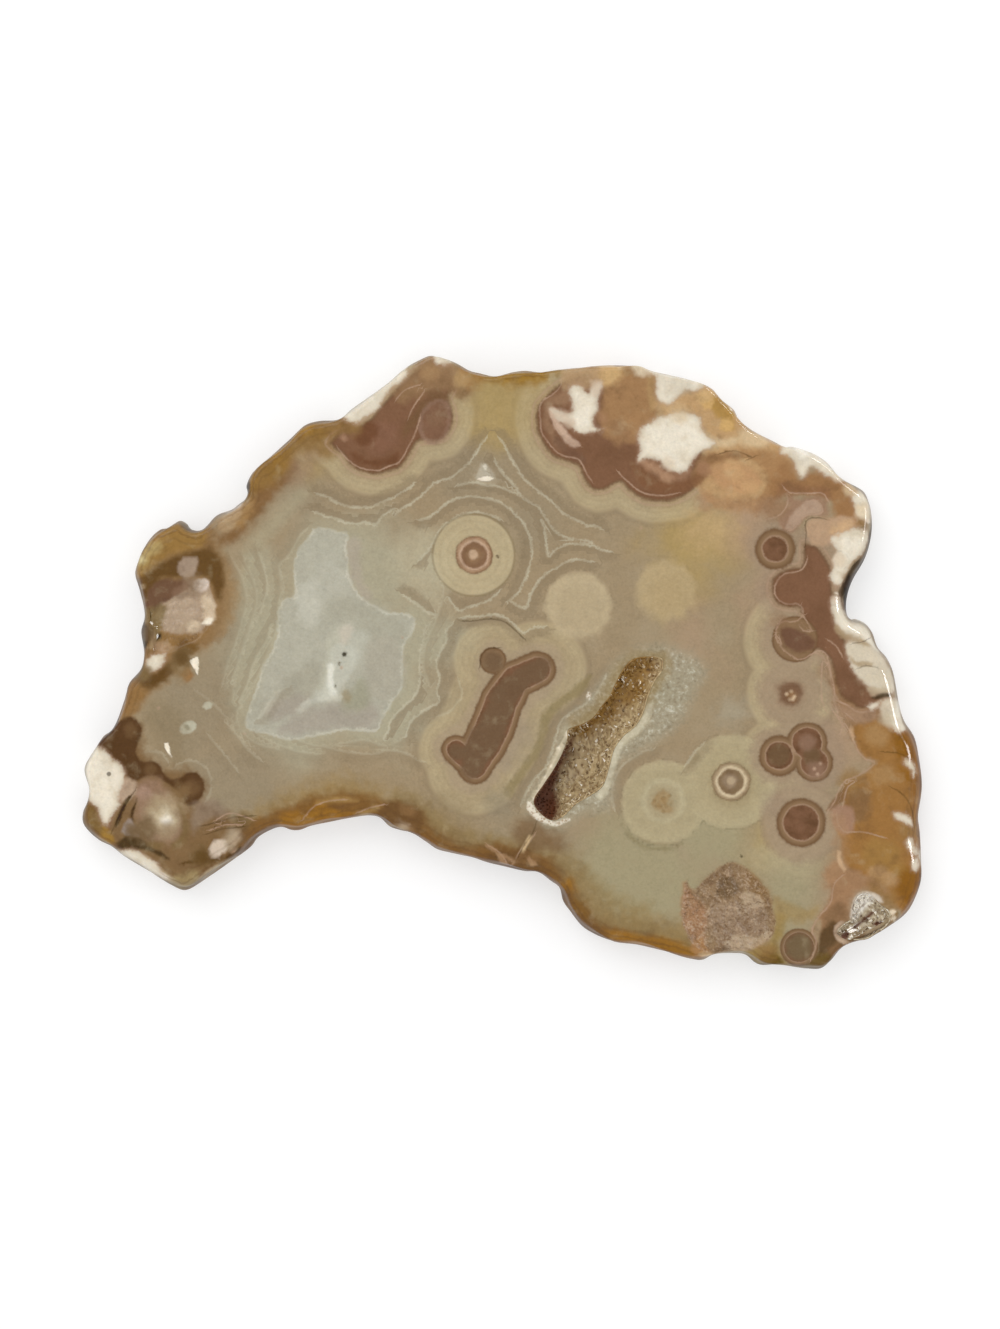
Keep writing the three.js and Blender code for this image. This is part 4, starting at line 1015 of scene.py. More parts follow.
def discs_distance(places, discs):
    return nearest(np.linalg.norm(places - plan(disc[:2]), axis=1) - disc[2] * MM_PER_PX for disc in numbers(discs))


def blend_near(places, named):
    """A blend at each place of the values that are named, "x,y,value ...", at places near it."""
    total = np.zeros(len(places))
    weights = np.zeros(len(places))
    for x, y, value in numbers(named):
        weight = 1 / (np.sum((places - plan((x, y))) ** 2, axis=1) + 9) ** 1.5
        total += weight * value
        weights += weight
    return total / weights


def lump_height(outline, z, spacing):
    """Shape of the rind's lumps: 0 in the hollows between them, 1 on top."""
    x, y = outline.T
    turn = 2 * math.pi / spacing
    lengthwise = np.sin(turn * (0.8 * x + 0.5 * y) + 1.1 * np.sin(0.3 * y) + 0.5 * z)
    crosswise = np.sin(turn * (0.7 * y - 0.4 * x) + 1.3 * np.sin(0.2 * x) - 0.6 * z)
    return 0.5 + 0.25 * (lengthwise + crosswise)


def inset_ring(ring, distances):
    """A ring inside another one, smoothed on the way in so that it can't cross itself."""
    points = ring.copy()
    softening = np.minimum(INSET_SOFTENING, INSET_SOFTENING * distances)[:, None]
    for _ in range(INSET_STEPS):
        before, after = np.roll(points, 1, axis=0), np.roll(points, -1, axis=0)
        along = after - before
        along /= np.linalg.norm(along, axis=1)[:, None]
        inward = np.column_stack([-along[:, 1], along[:, 0]])
        points = points + ((before + after) / 2 - points) * softening + inward * (distances / INSET_STEPS)[:, None]
    return points


def rind_rings(sizes):
    """Rings of the rind from the underside up to the face, as (height, points) in millimetres."""
    outline = plan(SILHOUETTE_PX) * OUTLINE_PLAY
    shoulders = blend_near(outline, SHOULDERS_MM)
    levels = []
    for i in range(UNDER_RINGS):
        turn = math.radians(90) * (1 - i / UNDER_RINGS)
        inset = sizes.under_rounding / MM * (1 - math.cos(turn))
        levels.append((WIDEST_HEIGHT_MM * (1 - math.sin(turn)), np.full(len(outline), inset)))
    for i in range(SHOULDER_RINGS + 1):
        turn = math.radians(90) * i / SHOULDER_RINGS
        height = WIDEST_HEIGHT_MM + (THICKNESS_MM - WIDEST_HEIGHT_MM) * math.sin(turn)
        levels.append((height, shoulders * (1 - math.cos(turn))))
    rings = []
    for height, inset in levels:
        share = min(1, abs(height - WIDEST_HEIGHT_MM) / LUMP_START_MM)
        dent = sizes.lump_depth / MM * share * (1 - lump_height(outline, height, sizes.lump_spacing / MM))
        distances = inset + dent
        rings.append((height, inset_ring(outline, distances) if distances.max() > 0 else outline))
    return rings


def hollow_rings(hollow, lining=0.0):
    """Rings of a hollow's wall from its edge down to its valley, or of a lining of that thickness on the wall."""
    edge = smooth_loop(hollow["edge"], hollow["edge_points"])
    stations = plan(numbers(hollow["valley"]))
    dense = np.linspace(0, len(stations) - 1, 240)
    line = np.column_stack([np.interp(dense, range(len(stations)), stations[:, axis]) for axis in (0, 1)])
    depths = np.interp(dense, range(len(stations)), hollow["depths_mm"])
    index = np.linalg.norm(edge[:, None, :] - line[None, :, :], axis=2).argmin(axis=1)
    valley, depth = line[index], depths[index]
    for _ in range(12):
        valley = (valley + np.roll(valley, 1, axis=0) + np.roll(valley, -1, axis=0)) / 3
        depth = (depth + np.roll(depth, 1) + np.roll(depth, -1)) / 3
    distance = np.linalg.norm(edge - valley, axis=1)
    outward = (edge - valley) / distance[:, None]
    steep = np.clip(1 - distance / STEEP_WALL_REACH_MM, 0, None)
    profile = np.array(HOLLOW_PROFILE)[::-1]
    along = np.linspace(0, len(profile) - 1, HOLLOW_RINGS)
    rings = []
    for spot in along:
        out, down, undercut = (np.interp(spot, range(len(profile)), profile[:, i]) for i in range(3))
        reach = distance * out + hollow["undercut_mm"] * undercut * steep - lining * min(1, out * 2)
        spots = valley + outward * np.maximum(reach, 0.05)[:, None]
        rings.append(np.column_stack([spots, THICKNESS_MM - down * (depth - lining)]))
    return rings


def grid_points(low, high, spacing):
    """Points of a staggered grid over a box."""
    rows = np.arange(low[1], high[1], spacing * 0.866)
    columns = np.arange(low[0], high[0], spacing)
    x, y = np.meshgrid(columns, rows)
    x = x + (np.arange(len(rows)) % 2)[:, None] * spacing / 2
    return np.column_stack([x.ravel(), y.ravel()])


def face_fill(boundary, holes, spacing, fine_places):
    """Triangles that fill a flat face between its boundary and its holes, finer round some places."""
    loops = [boundary, *holes]
    points = grid_points(boundary.min(0), boundary.max(0), spacing)
    for x, y, radius in numbers(fine_places):
        centre, reach = plan((x, y)), radius * MM_PER_PX
        points = points[np.linalg.norm(points - centre, axis=1) > reach]
        fine = grid_points(centre - reach, centre + reach, FINE_SPACING_MM)
        points = np.vstack([points, fine[np.linalg.norm(fine - centre, axis=1) < reach - FINE_SPACING_MM / 2]])
    keep = region_distance(points, boundary[::2], 2.0) < -spacing * 0.6
    for hole in holes:
        keep &= region_distance(points, hole[::2], 2.0) > spacing * 0.6
    corners, edges = [], []
    for loop in loops:
        first = len(corners)
        corners.extend(Vector(point) for point in loop)
        edges.extend((first + i, first + (i + 1) % len(loop)) for i in range(len(loop)))
    corners.extend(Vector(point) for point in points[keep])
    verts, _, faces, *_ = delaunay_2d_cdt(corners, edges, [], 1, 1e-6)
    verts, faces = np.array([tuple(v) for v in verts]), np.array([tuple(face) for face in faces])
    middles = verts[faces].mean(axis=1)
    for hole in holes:
        filled = inside(middles, hole)
        faces, middles = faces[~filled], middles[~filled]
    return verts, faces


def ring_fill(ring):
    """Triangles that close a ring of points in space, seen from above."""
    verts = [Vector(point[:2]) for point in ring]
    edges = [(i, (i + 1) % len(ring)) for i in range(len(ring))]
    _, _, faces, from_verts, *_ = delaunay_2d_cdt(verts, edges, [], 1, 1e-6)
    return [tuple(from_verts[i][0] for i in face) for face in faces]


class MeshParts:
    """Gathers points in millimetres and faces, and makes one mesh object of them."""

    def __init__(self):
        self.points = []
        self.faces = []

    def add(self, points, faces):
        first = len(self.points)
        self.points.extend(tuple(point) for point in points)
        self.faces.extend(tuple(first + i for i in face) for face in faces)

    def add_wall(self, rings):
        """Quads between rings that have the same number of points."""
        count = len(rings[0])
        faces = [
            (level * count + i, level * count + (i + 1) % count,
             (level + 1) * count + (i + 1) % count, (level + 1) * count + i)
            for level in range(len(rings) - 1) for i in range(count)
        ]
        self.add(np.vstack(rings), faces)

    def to_object(self, name):
        """The mesh, with doubled points merged, all faces turned outwards and only its edges left sharp."""
        work = bmesh.new()
        verts = [work.verts.new(Vector(point) * MM) for point in self.points]
        for face in self.faces:
            if len(set(face)) > 2:
                work.faces.new([verts[i] for i in face])
        bmesh.ops.remove_doubles(work, verts=work.verts, dist=1e-6)
        bmesh.ops.recalc_face_normals(work, faces=work.faces)
        mesh = bpy.data.meshes.new(name)
        work.to_mesh(mesh)
        work.free()
        mesh.shade_smooth()
        mesh.set_sharp_from_angle(angle=math.radians(45))
        piece = bpy.data.objects.new(name, mesh)
        bpy.context.scene.collection.objects.link(piece)
        return piece


def points_of(mesh):
    """A mesh's points in millimetres."""
    co = np.empty(len(mesh.vertices) * 3)
    mesh.vertices.foreach_get("co", co)
    return co.reshape(-1, 3) / MM


def washed(places, washes):
    """Colour and cover at each place, from washes painted one over the other with slightly wandering edges."""
    wander = np.array([noise.fractal(Vector((x, y, 0.0)) / WANDER_SIZE_MM, 0.7, 2.0, 3) for x, y in places])
    colour = np.zeros((len(places), 3))
    cover = np.zeros(len(places))
    for hex_colour, soft, strength, shapes in washes:
        reach = soft * (1 + WANDER_SHARE) + WANDER_LEAST_MM
        for shape in shapes.split(";"):
            if len(shape.split()) == 1:
                distance = discs_distance(places, shape)
            else:
                distance = region_distance(places, smooth_loop(shape), reach + 0.1)
            distance = distance + wander * (soft * WANDER_SHARE + WANDER_LEAST_MM)
            share = np.clip((soft - distance) / (2 * soft), 0, 1)
            share = strength * share * share * (3 - 2 * share)
            colour += (np.array(linear(hex_colour)[:3]) - colour) * share[:, None]
            cover += (1 - cover) * share
    return colour, cover


def store_colour(mesh, name, colour, cover):
    """Stores a colour with its cover as alpha. The colour was painted on black, so it's divided by the cover."""
    attribute = mesh.attributes.new(name, "FLOAT_COLOR", "POINT")
    full = colour / np.maximum(cover, 1e-4)[:, None]
    attribute.data.foreach_set("color", np.column_stack([np.minimum(full, 1), cover]).astype(np.float32).ravel())


def store(mesh, name, values):
    attribute = mesh.attributes.new(name, "FLOAT", "POINT")
    attribute.data.foreach_set("value", np.asarray(values, np.float32))


def dish_depth(places):
    """How deep the worn dishes are at each place, in millimetres, with their lumps."""
    depth = np.zeros(len(places))
    for edge, deepest, lumps in DISHES_MM:
        inward = np.clip(-region_distance(places, smooth_loop(edge)) / DISH_WALL_MM, 0, 1)
        within = np.flatnonzero(inward)
        share = inward[within] ** 2 * (3 - 2 * inward[within])
        bumps = np.array([noise.fractal(Vector((x, y, 3.0)) / LUMP_SIZE_MM, 0.8, 2.1, 3) for x, y in places[within]])
        depth[within] += share * np.maximum(deepest - lumps * np.clip(0.5 + bumps, 0, 1), 0.02)
    return depth


def line_fields(places, lines):
    """Of the nearest of some lines (path, place beside it, strength): distance signed by side, distance, strength."""
    near = np.full(len(places), LINE_REACH_MM)
    signed = np.full(len(places), LINE_REACH_MM)
    strengths = np.ones(len(places))
    for path, beside, strength in lines:
        line = smooth_line(path)
        distance, side = line_distance(places, line, False, LINE_REACH_MM)
        if beside:
            side = side * line_distance(plan(numbers(beside)), line, False, 40)[1][0]
        nearer = distance < near
        near[nearer] = distance[nearer]
        signed[nearer] = (distance * side)[nearer]
        strengths[nearer] = strength
    return signed, near, strengths


def marking_fields(places):
    """Distances in millimetres that the agate's markings are drawn from, at places on its plan."""
    tubes = {name: chain_distance(places, discs) for name, (discs, _) in TUBES.items()}
    plain = {name: chain_distance(places, discs) for name, discs in PLAIN_TUBES.items()}
    seeds = {name: chain_distance(places, discs) for name, discs in HALO_SEEDS.items()}
    lobes = {name: region_distance(places, smooth_loop(path)) for name, path in LOBES.items()}
    reach = {**tubes, **plain, **seeds, **lobes}
    ringed = nearest(tubes[name] * 0.6 / (inset * MM_PER_PX) for name, (_, inset) in TUBES.items())
    fields = {
        "tube": np.minimum(ringed, np.maximum(nearest(plain.values()), -0.4)),
        "lobe": nearest(lobes.values()),
        "cream": discs_distance(places, CREAM_DISCS),
        "beige": nearest(reach[name] - px * MM_PER_PX for name, px in BEIGE_REACH.items()),
        "lavender": nearest(reach[name] - px * MM_PER_PX for name, px in LAVENDER_REACH.items()),
        "edge": line_distance(places, plan(SILHOUETTE_PX)[::4], True, FIELD_REACH_MM)[0],
    }
    pink, cracks = ([(path, None, 1.0) for path in paths.split(";")] for paths in (PINK_LINES, DARK_LINES))
    for name, lines in (("growth", GROWTH_LINES), ("pink", pink), ("crack", cracks)):
        fields[name + "_side"], fields[name + "_near"], fields[name + "_strength"] = line_fields(places, lines)
    for name, regions in REGIONS.items():
        fields[name] = regions_distance(places, regions)
    for name, discs in {**CLOUDS, **DOTS}.items():
        fields[name] = discs_distance(places, discs)
    return fields


def write_markings(piece):
    """Stores the marking fields on the piece's points. The bands lean and wander through the slab's thickness."""
    co = points_of(piece.data)
    below = THICKNESS_MM - co[:, 2]
    sway = np.array([noise.noise_vector(Vector(point) / SWAY_SIZE_MM)[:2] for point in co])
    places = co[:, :2] + below[:, None] * (BAND_LEAN + sway * SWAY_SHARE)
    for name, values in marking_fields(places).items():
        store(piece.data, name, values)
    store(piece.data, "below", below)
    rim = line_distance(co[:, :2], plan(SILHOUETTE_PX)[::2], True, FIELD_REACH_MM)[0]
    # Painted shade on the rim: its strength near each place, fading out inwards from the outline
    store(piece.data, "rim_shade", blend_near(co[:, :2], RIM_SHADES) * np.clip(1 - rim / RIM_SHADE_WIDTH_MM, 0, 1))
    for name, washes in (("mid_wash", MID_WASHES), ("rind_wash", RIND_WASHES), ("top_wash", TOP_WASHES),
                         ("last_wash", LAST_WASHES)):
        store_colour(piece.data, name, *washed(places, washes))


def add_node(tree, kind, inputs=None, out=0, **settings):
    """Adds a node with its settings, gives its inputs their values or links, and returns one of its outputs."""
    node = tree.nodes.new(kind)
    for name, value in settings.items():
        setattr(node, name, value)
    for key, value in (inputs or {}).items():
        if isinstance(value, bpy.types.NodeSocket):
            tree.links.new(value, node.inputs[key])
        elif value is not None:
            node.inputs[key].default_value = value
    return node.outputs[out] if node.outputs else None


# A colour mix node's sockets: its factor, the colour below and the colour on top; its result is output 2
MIX_FACTOR, MIX_BELOW, MIX_ABOVE, MIX_RESULT = 0, 6, 7, 2


class StonePaint:
    """Paints layers of colour in a material's node tree, from distances stored on the mesh."""

    def __init__(self, material):
        material.use_nodes = True
        self.tree = material.node_tree
        self.tree.nodes.clear()
        self.place = add_node(self.tree, "ShaderNodeTexCoord", out="Object")
        self.colour = None

    def field(self, name):
        return add_node(self.tree, "ShaderNodeAttribute", out="Fac", attribute_name=name)

    def noise(self, size_mm, detail=2.0, distortion=0.0):
        """Noise between -0.5 and 0.5 whose blotches are about size_mm across."""
        raw = add_node(self.tree, "ShaderNodeTexNoise", {
            "Vector": self.place, "Scale": 1 / (size_mm * MM), "Detail": detail, "Distortion": distortion})
        return self.maths("SUBTRACT", raw, 0.5)

    def maths(self, operation, a, b=0.0, c=0.0):
        return add_node(self.tree, "ShaderNodeMath", {0: a, 1: b, 2: c}, operation=operation)

    def ramp(self, value, start, end, low=0.0, high=1.0):
        """A smooth change from low to high as the value goes from start to end."""
        return add_node(self.tree, "ShaderNodeMapRange", {
            "Value": value, "From Min": start, "From Max": end, "To Min": low, "To Max": high},
            interpolation_type="SMOOTHSTEP")

    def stripe(self, value, at, half_width, softness):
        """1 where the value is within half_width of a level, fading out over softness."""
        gap = self.maths("ABSOLUTE", self.maths("SUBTRACT", value, at))
        return self.ramp(gap, half_width + softness, max(half_width - softness, 0))

    def blend(self, below, above, share):
        return add_node(self.tree, "ShaderNodeMix", {MIX_FACTOR: share, MIX_BELOW: below, MIX_ABOVE: above},
                        out=MIX_RESULT, data_type="RGBA")

    def lay(self, colour, mask, strength=1.0):
        """Lays a colour over what is painted so far, where the mask is 1."""
        share = mask if strength == 1 else self.maths("MULTIPLY", mask, strength)
        self.colour = self.blend(self.colour, colour, share)

    def finish(self, inputs):
        """Ends the material in one principled shader with these inputs."""
        shader = add_node(self.tree, "ShaderNodeBsdfPrincipled", inputs)
        add_node(self.tree, "ShaderNodeOutputMaterial", {"Surface": shader})


def agate_material(name, colours, polish):
    """Tube agate, a banded chalcedony, tumble-polished: glassy gloss over milky, slightly translucent bands."""
    material = bpy.data.materials.new(name)
    paint = StonePaint(material)
    m = paint.maths
    grain, fine, medium, broad = (paint.noise(size, 3.0) for size in (0.3, 0.55, 1.6, 6.0))

    def ragged(field_name, fine_mm, medium_mm, grain_mm=0.0):
        """A stored distance whose level lines wander by about so many millimetres."""
        value = m("MULTIPLY_ADD", fine, fine_mm * 3, paint.field(field_name))
        value = m("MULTIPLY_ADD", medium, medium_mm * 3, value)
        return m("MULTIPLY_ADD", grain, grain_mm * 3, value) if grain_mm else value

    def drawn_line(name, half_width, softness, wander):
        """1 on the lines of a set, with weaker stretches."""
        on_line = paint.stripe(ragged(name + "_side", wander, wander, wander), 0.0, half_width, softness)
        on_line = m("MULTIPLY", on_line, paint.ramp(paint.field(name + "_near"), 0.8, 0.4))
        on_line = m("MULTIPLY", on_line, paint.field(name + "_strength"))
        return m("MULTIPLY", on_line, paint.ramp(medium, -0.25, 0.2, 0.45, 1.0))

    def wash(name):
        """Lays a set of washes and returns its cover."""
        node = paint.tree.nodes.new("ShaderNodeAttribute")
        node.attribute_name = name
        paint.colour = paint.blend(paint.colour, node.outputs["Color"], node.outputs["Alpha"])
        return node.outputs["Alpha"]

    # Ground: soft regional clouds
    paint.colour = paint.blend(colours.ground, colours.growth_line, paint.ramp(broad, -0.1, 0.5, 0.0, 0.2))
    for name in CLOUDS:
        cloud = m("MULTIPLY_ADD", broad, 12.0, paint.field(name))
        paint.lay(getattr(colours, name), paint.ramp(cloud, 3.5, -4.5), 0.85)

    # Beige bands round tubes and lobes, palest near their outer edge, and faint growth bands outside them
    beige = ragged("beige", 0.1, 0.2, 0.16)
    bands = m("SINE", m("MULTIPLY", ragged("beige", 0.25, 0.6, 0.2), 2 * math.pi / 1.25))
    paint.lay(colours.growth_shade, m("MULTIPLY", paint.ramp(bands, -0.2, 1.0), paint.ramp(medium, -0.2, 0.3)), 0.22)
    paint.lay(colours.beige, paint.ramp(beige, 0.4, -0.5), 0.6)
    paint.lay(colours.cream, paint.stripe(beige, -0.9, 0.3, 1.0), 0.25)
    rings = paint.ramp(m("SINE", m("MULTIPLY", ragged("beige", 0.1, 0.25, 0.1), 2 * math.pi / 0.8)), -0.4, 1.0)
    paint.lay(colours.cream_edge, m("MULTIPLY", rings, paint.ramp(beige, 0.0, -0.4)), 0.1)
    paint.lay(colours.growth_shade, paint.stripe(beige, 0.5, 0.2, 0.5), 0.25)

    # The heart with its crinkled edge, then washes over the whole middle
    pool = ragged("pool", 0.2, 0.2, 0.16)
    paint.lay(colours.grey_cloud, paint.ramp(pool, 3.6, 0.4), 0.55)
    paint.lay(colours.pool, paint.ramp(pool, 0.35, -0.35), 0.85)
    wash("mid_wash")
    paint.lay(colours.pool_edge, m("MULTIPLY", paint.stripe(pool, 0.0, 0.1, 0.26), paint.ramp(medium, -0.25, 0.2, 0.3)),
              0.5)

    # Growth lines with a darker ragged band on one side of each
    side = ragged("growth_side", 0.14, 0.12, 0.18)
    shade = m("MULTIPLY", paint.ramp(side, -0.1, 0.35), paint.ramp(side, 1.9, 0.9))
    shade = m("MULTIPLY", shade, paint.ramp(paint.field("growth_near"), 2.0, 1.5))
    paint.lay(colours.growth_shade, m("MULTIPLY", shade, paint.field("growth_strength")), 0.52)
    paint.lay(colours.growth_line, drawn_line("growth", 0.08, 0.24, 0.17), 0.64)

    # The cream halo with a thin dark edge, and mauve-grey halos round the tubes at the right
    cream = ragged("cream", 0.05, 0.06, 0.05)
    paint.lay(colours.cream, paint.ramp(cream, 0.2, -0.2), 0.72)
    paint.lay(colours.beige, paint.ramp(cream, -1.2, -4.6), 0.4)
    rings = paint.ramp(m("SINE", m("MULTIPLY", cream, 2 * math.pi / 1.1)), 0.0, 1.0)
    paint.lay(colours.cream_edge, m("MULTIPLY", rings, paint.ramp(cream, -0.3, -0.7)), 0.09)
    paint.lay(colours.cream_edge, paint.stripe(cream, 0.15, 0.08, 0.2), 0.45)
    paint.lay(colours.lavender, paint.ramp(ragged("lavender", 0.15, 0.5, 0.15), 0.9, -0.9), 0.7)

    # Grainy quartz round the vug
    quartz = paint.ramp(ragged("quartz", 0.5, 0.7, 0.3), 1.2, -1.6)
    veins = m("ADD", m("ADD", grain, fine), medium)
    paint.lay(colours.quartz_halo, quartz, 0.75)
    paint.lay(colours.growth_shade, m("MULTIPLY", quartz, paint.ramp(fine, -0.02, -0.22)), 0.35)
    paint.lay(colours.pool_edge, m("MULTIPLY", quartz, paint.ramp(fine, 0.02, 0.22)), 0.4)
    paint.lay(colours.pool_edge, m("MULTIPLY", quartz, paint.ramp(veins, 0.05, 0.5)), 0.45)
    paint.lay(colours.growth_shade, m("MULTIPLY", quartz, paint.ramp(veins, -0.05, -0.5)), 0.4)

    # Rind with folds along its edge, and the lobes with a brown fade round them
    rind = wash("rind_wash")
    folds = m("SINE", m("MULTIPLY", ragged("edge", 0.1, 0.35, 0.05), 2 * math.pi / 0.95))
    folds = m("MULTIPLY", m("MULTIPLY", paint.ramp(folds, 0.0, 1.0), paint.ramp(paint.field("edge"), 3.6, 1.0)), rind)
    paint.lay(colours.mauve_dark, folds, 0.3)
    lobe = ragged("lobe", 0.08, 0.15, 0.06)
    paint.lay(colours.brown, paint.ramp(lobe, 1.5, 0.0), 0.45)
    paint.lay(colours.pink_line, paint.stripe(lobe, 0.75, 0.06, 0.2), 0.4)
    mauve = paint.blend(colours.mauve, colours.mauve_dark, paint.ramp(m("ADD", medium, broad), -0.2, 0.35, 0.0, 0.4))
    paint.lay(mauve, paint.ramp(lobe, 0.25, -0.3))
    paint.lay(colours.mauve_dark, paint.stripe(lobe, 0.0, 0.16, 0.28), 0.5)

    # Tubes: dark rim, brown body, pale line, dark core
    tube = ragged("tube", 0.05, 0.08, 0.04)
    paint.lay(colours.tube_body, paint.ramp(tube, 0.1, -0.1), 0.95)
    paint.lay(colours.mauve_dark, paint.stripe(tube, -0.08, 0.1, 0.24), 0.5)
    core = paint.blend(colours.mauve, colours.mauve_dark, paint.ramp(medium, -0.25, 0.35))
    paint.lay(core, paint.ramp(tube, -0.56, -0.72))
    paint.lay(colours.pink_line, paint.stripe(tube, -0.6, 0.05, 0.12), 0.42)
    stain_and_painted_light = m("MAXIMUM", rind, wash("top_wash"))
    clouded = paint.noise(2.0, 5.0, 0.3)
    paint.lay(colours.mauve_dark, m("MULTIPLY", stain_and_painted_light, paint.ramp(clouded, 0.0, -0.26)), 0.3)
    paint.lay(colours.cream, m("MULTIPLY", stain_and_painted_light, paint.ramp(clouded, 0.04, 0.3)), 0.24)
    paint.lay(colours.pink_line, drawn_line("pink", 0.07, 0.14, 0.07), 0.75)

    # Milky patches with a flesh-coloured fringe, clefts, cracks and dots
    white = ragged("white", 0.22, 0.34, 0.14)
    milk = paint.blend(colours.white, colours.milk_shade, paint.ramp(m("ADD", medium, clouded), -0.1, 0.4, 0.0, 0.75))
    paint.lay(colours.pink_line, paint.ramp(white, 0.7, 0.0), 0.4)
    paint.lay(milk, paint.ramp(white, 0.3, -0.5))
    paint.lay(colours.milk_shade, paint.stripe(white, -0.35, 0.1, 0.55), 0.35)
    wash("last_wash")
    paint.lay(colours.cleft, paint.ramp(ragged("cleft", 0.1, 0.2), 0.3, -0.2), 0.8)
    paint.lay(colours.cleft, drawn_line("crack", 0.06, 0.14, 0.08), 0.55)
    paint.lay(colours.pink_line, paint.ramp(paint.field("pale_dot"), 0.2, -0.25), 0.8)
    paint.lay(colours.cleft, paint.ramp(paint.field("dark_dot"), 0.12, -0.1), 0.7)

    # Worn granular places, the crust on the lips of the hollows, and a fine fleck all over
    speck = add_node(paint.tree, "ShaderNodeTexVoronoi",
                     {"Vector": paint.place, "Scale": 1 / (0.4 * MM)}, out="Distance")
    worn = paint.ramp(ragged("worn", 0.15, 0.15, 0.15), 0.2, -0.2)
    mottle = m("ADD", m("ADD", grain, fine), medium)
    paint.lay(colours.rough_pale, m("MULTIPLY", worn, paint.ramp(mottle, 0.02, 0.35)), 0.7)
    paint.lay(colours.rough, m("MULTIPLY", worn, paint.ramp(mottle, -0.02, -0.35)), 0.8)
    crust = paint.ramp(ragged("crust", 0.15, 0.15, 0.2), 0.25, -0.2)
    paint.lay(paint.blend(colours.rough_pale, colours.white, paint.ramp(m("ADD", speck, fine), 0.1, 0.6)), crust, 0.9)
    # Fine mottling. The colours were matched with the gloss on them, so the gloss's share comes off here.
    fleck = m("ADD", m("MULTIPLY_ADD", grain, 0.26, 0.985), m("MULTIPLY_ADD", fine, 0.18, m("MULTIPLY", medium, 0.22)))
    # Painted shade darkens the worn rim, most where it faces away from the light, and the sawn wall below it a little
    shaded_rim = paint.ramp(paint.field("rim_shade"), 0.0, 1.0, 1.0, 0.42)
    shaded_rim = m("MAXIMUM", shaded_rim, paint.ramp(paint.field("below"), 1.2, 4.0, 0.0, 0.75))
    fleck = m("MULTIPLY", fleck, shaded_rim)
    paint.colour = add_node(paint.tree, "ShaderNodeVectorMath", {0: paint.colour, "Scale": fleck}, operation="SCALE")
    paint.colour = add_node(paint.tree, "ShaderNodeVectorMath", {0: paint.colour, 1: GLOSS_SHARE * polish},
                            operation="SUBTRACT")

    unpolished = m("MAXIMUM", worn, crust)
    paint.finish({
        "Base Color": paint.colour,
        "Roughness": paint.ramp(unpolished, 0.0, 1.0, 0.09 if polish else 0.3, 0.5),
        "IOR": 1.54,
        "Specular IOR Level": 0.22 if polish else 0.02,
        "Subsurface Weight": 0.12,
        "Subsurface Radius": (1.0, 0.7, 0.45),
        "Subsurface Scale": 1.2 * MM,
        "Normal": add_node(paint.tree, "ShaderNodeBump", {
            "Strength": m("MULTIPLY", unpolished, 0.6), "Distance": 0.2 * MM, "Height": speck}),
    })
    return material


def quartz_material(name, pale, stain_and_painted_light, dark_share, white_and_glint_share, gloss):
    """Natural quartz crystals: clear facets that glitter, some dark and some near-white, partly white crystals and
    partly painted glints. A second colour is an iron stain in the open hollow and painted glare in the corner pocket,
    and painted shade darkens deep places.
    """
    material = bpy.data.materials.new(name)
    paint = StonePaint(material)
    tone = paint.field("tone")
    paint.colour = paint.blend(pale, stain_and_painted_light, paint.field("stain_and_glare"))
    paint.lay(linear("#6b4a26"), paint.ramp(tone, 0.55, 0.05), 0.62)
    paint.lay(linear("#efe2c8"), paint.ramp(tone, 0.55, 0.95), 0.55)
    paint.lay(linear("#4a331f"), paint.ramp(tone, dark_share + 0.05, dark_share), 0.6)
    # Painted glints: a share of crystals, picked by their random tone, painted near-white
    paint.lay(linear("#fff8e8"), paint.ramp(tone, 0.995 - white_and_glint_share, 1.0 - white_and_glint_share), 0.92)
    paint.lay(linear("#5a2c10"), paint.field("shade"), 0.97)
    paint.finish({
        "Base Color": paint.colour, "Roughness": paint.ramp(paint.field("shade"), 0.0, 1.0, 0.12, 0.8), "IOR": 1.544,
        "Specular IOR Level": gloss,
        "Subsurface Weight": 0.08, "Subsurface Radius": (1.0, 0.75, 0.5), "Subsurface Scale": 0.4 * MM,
    })
    return material


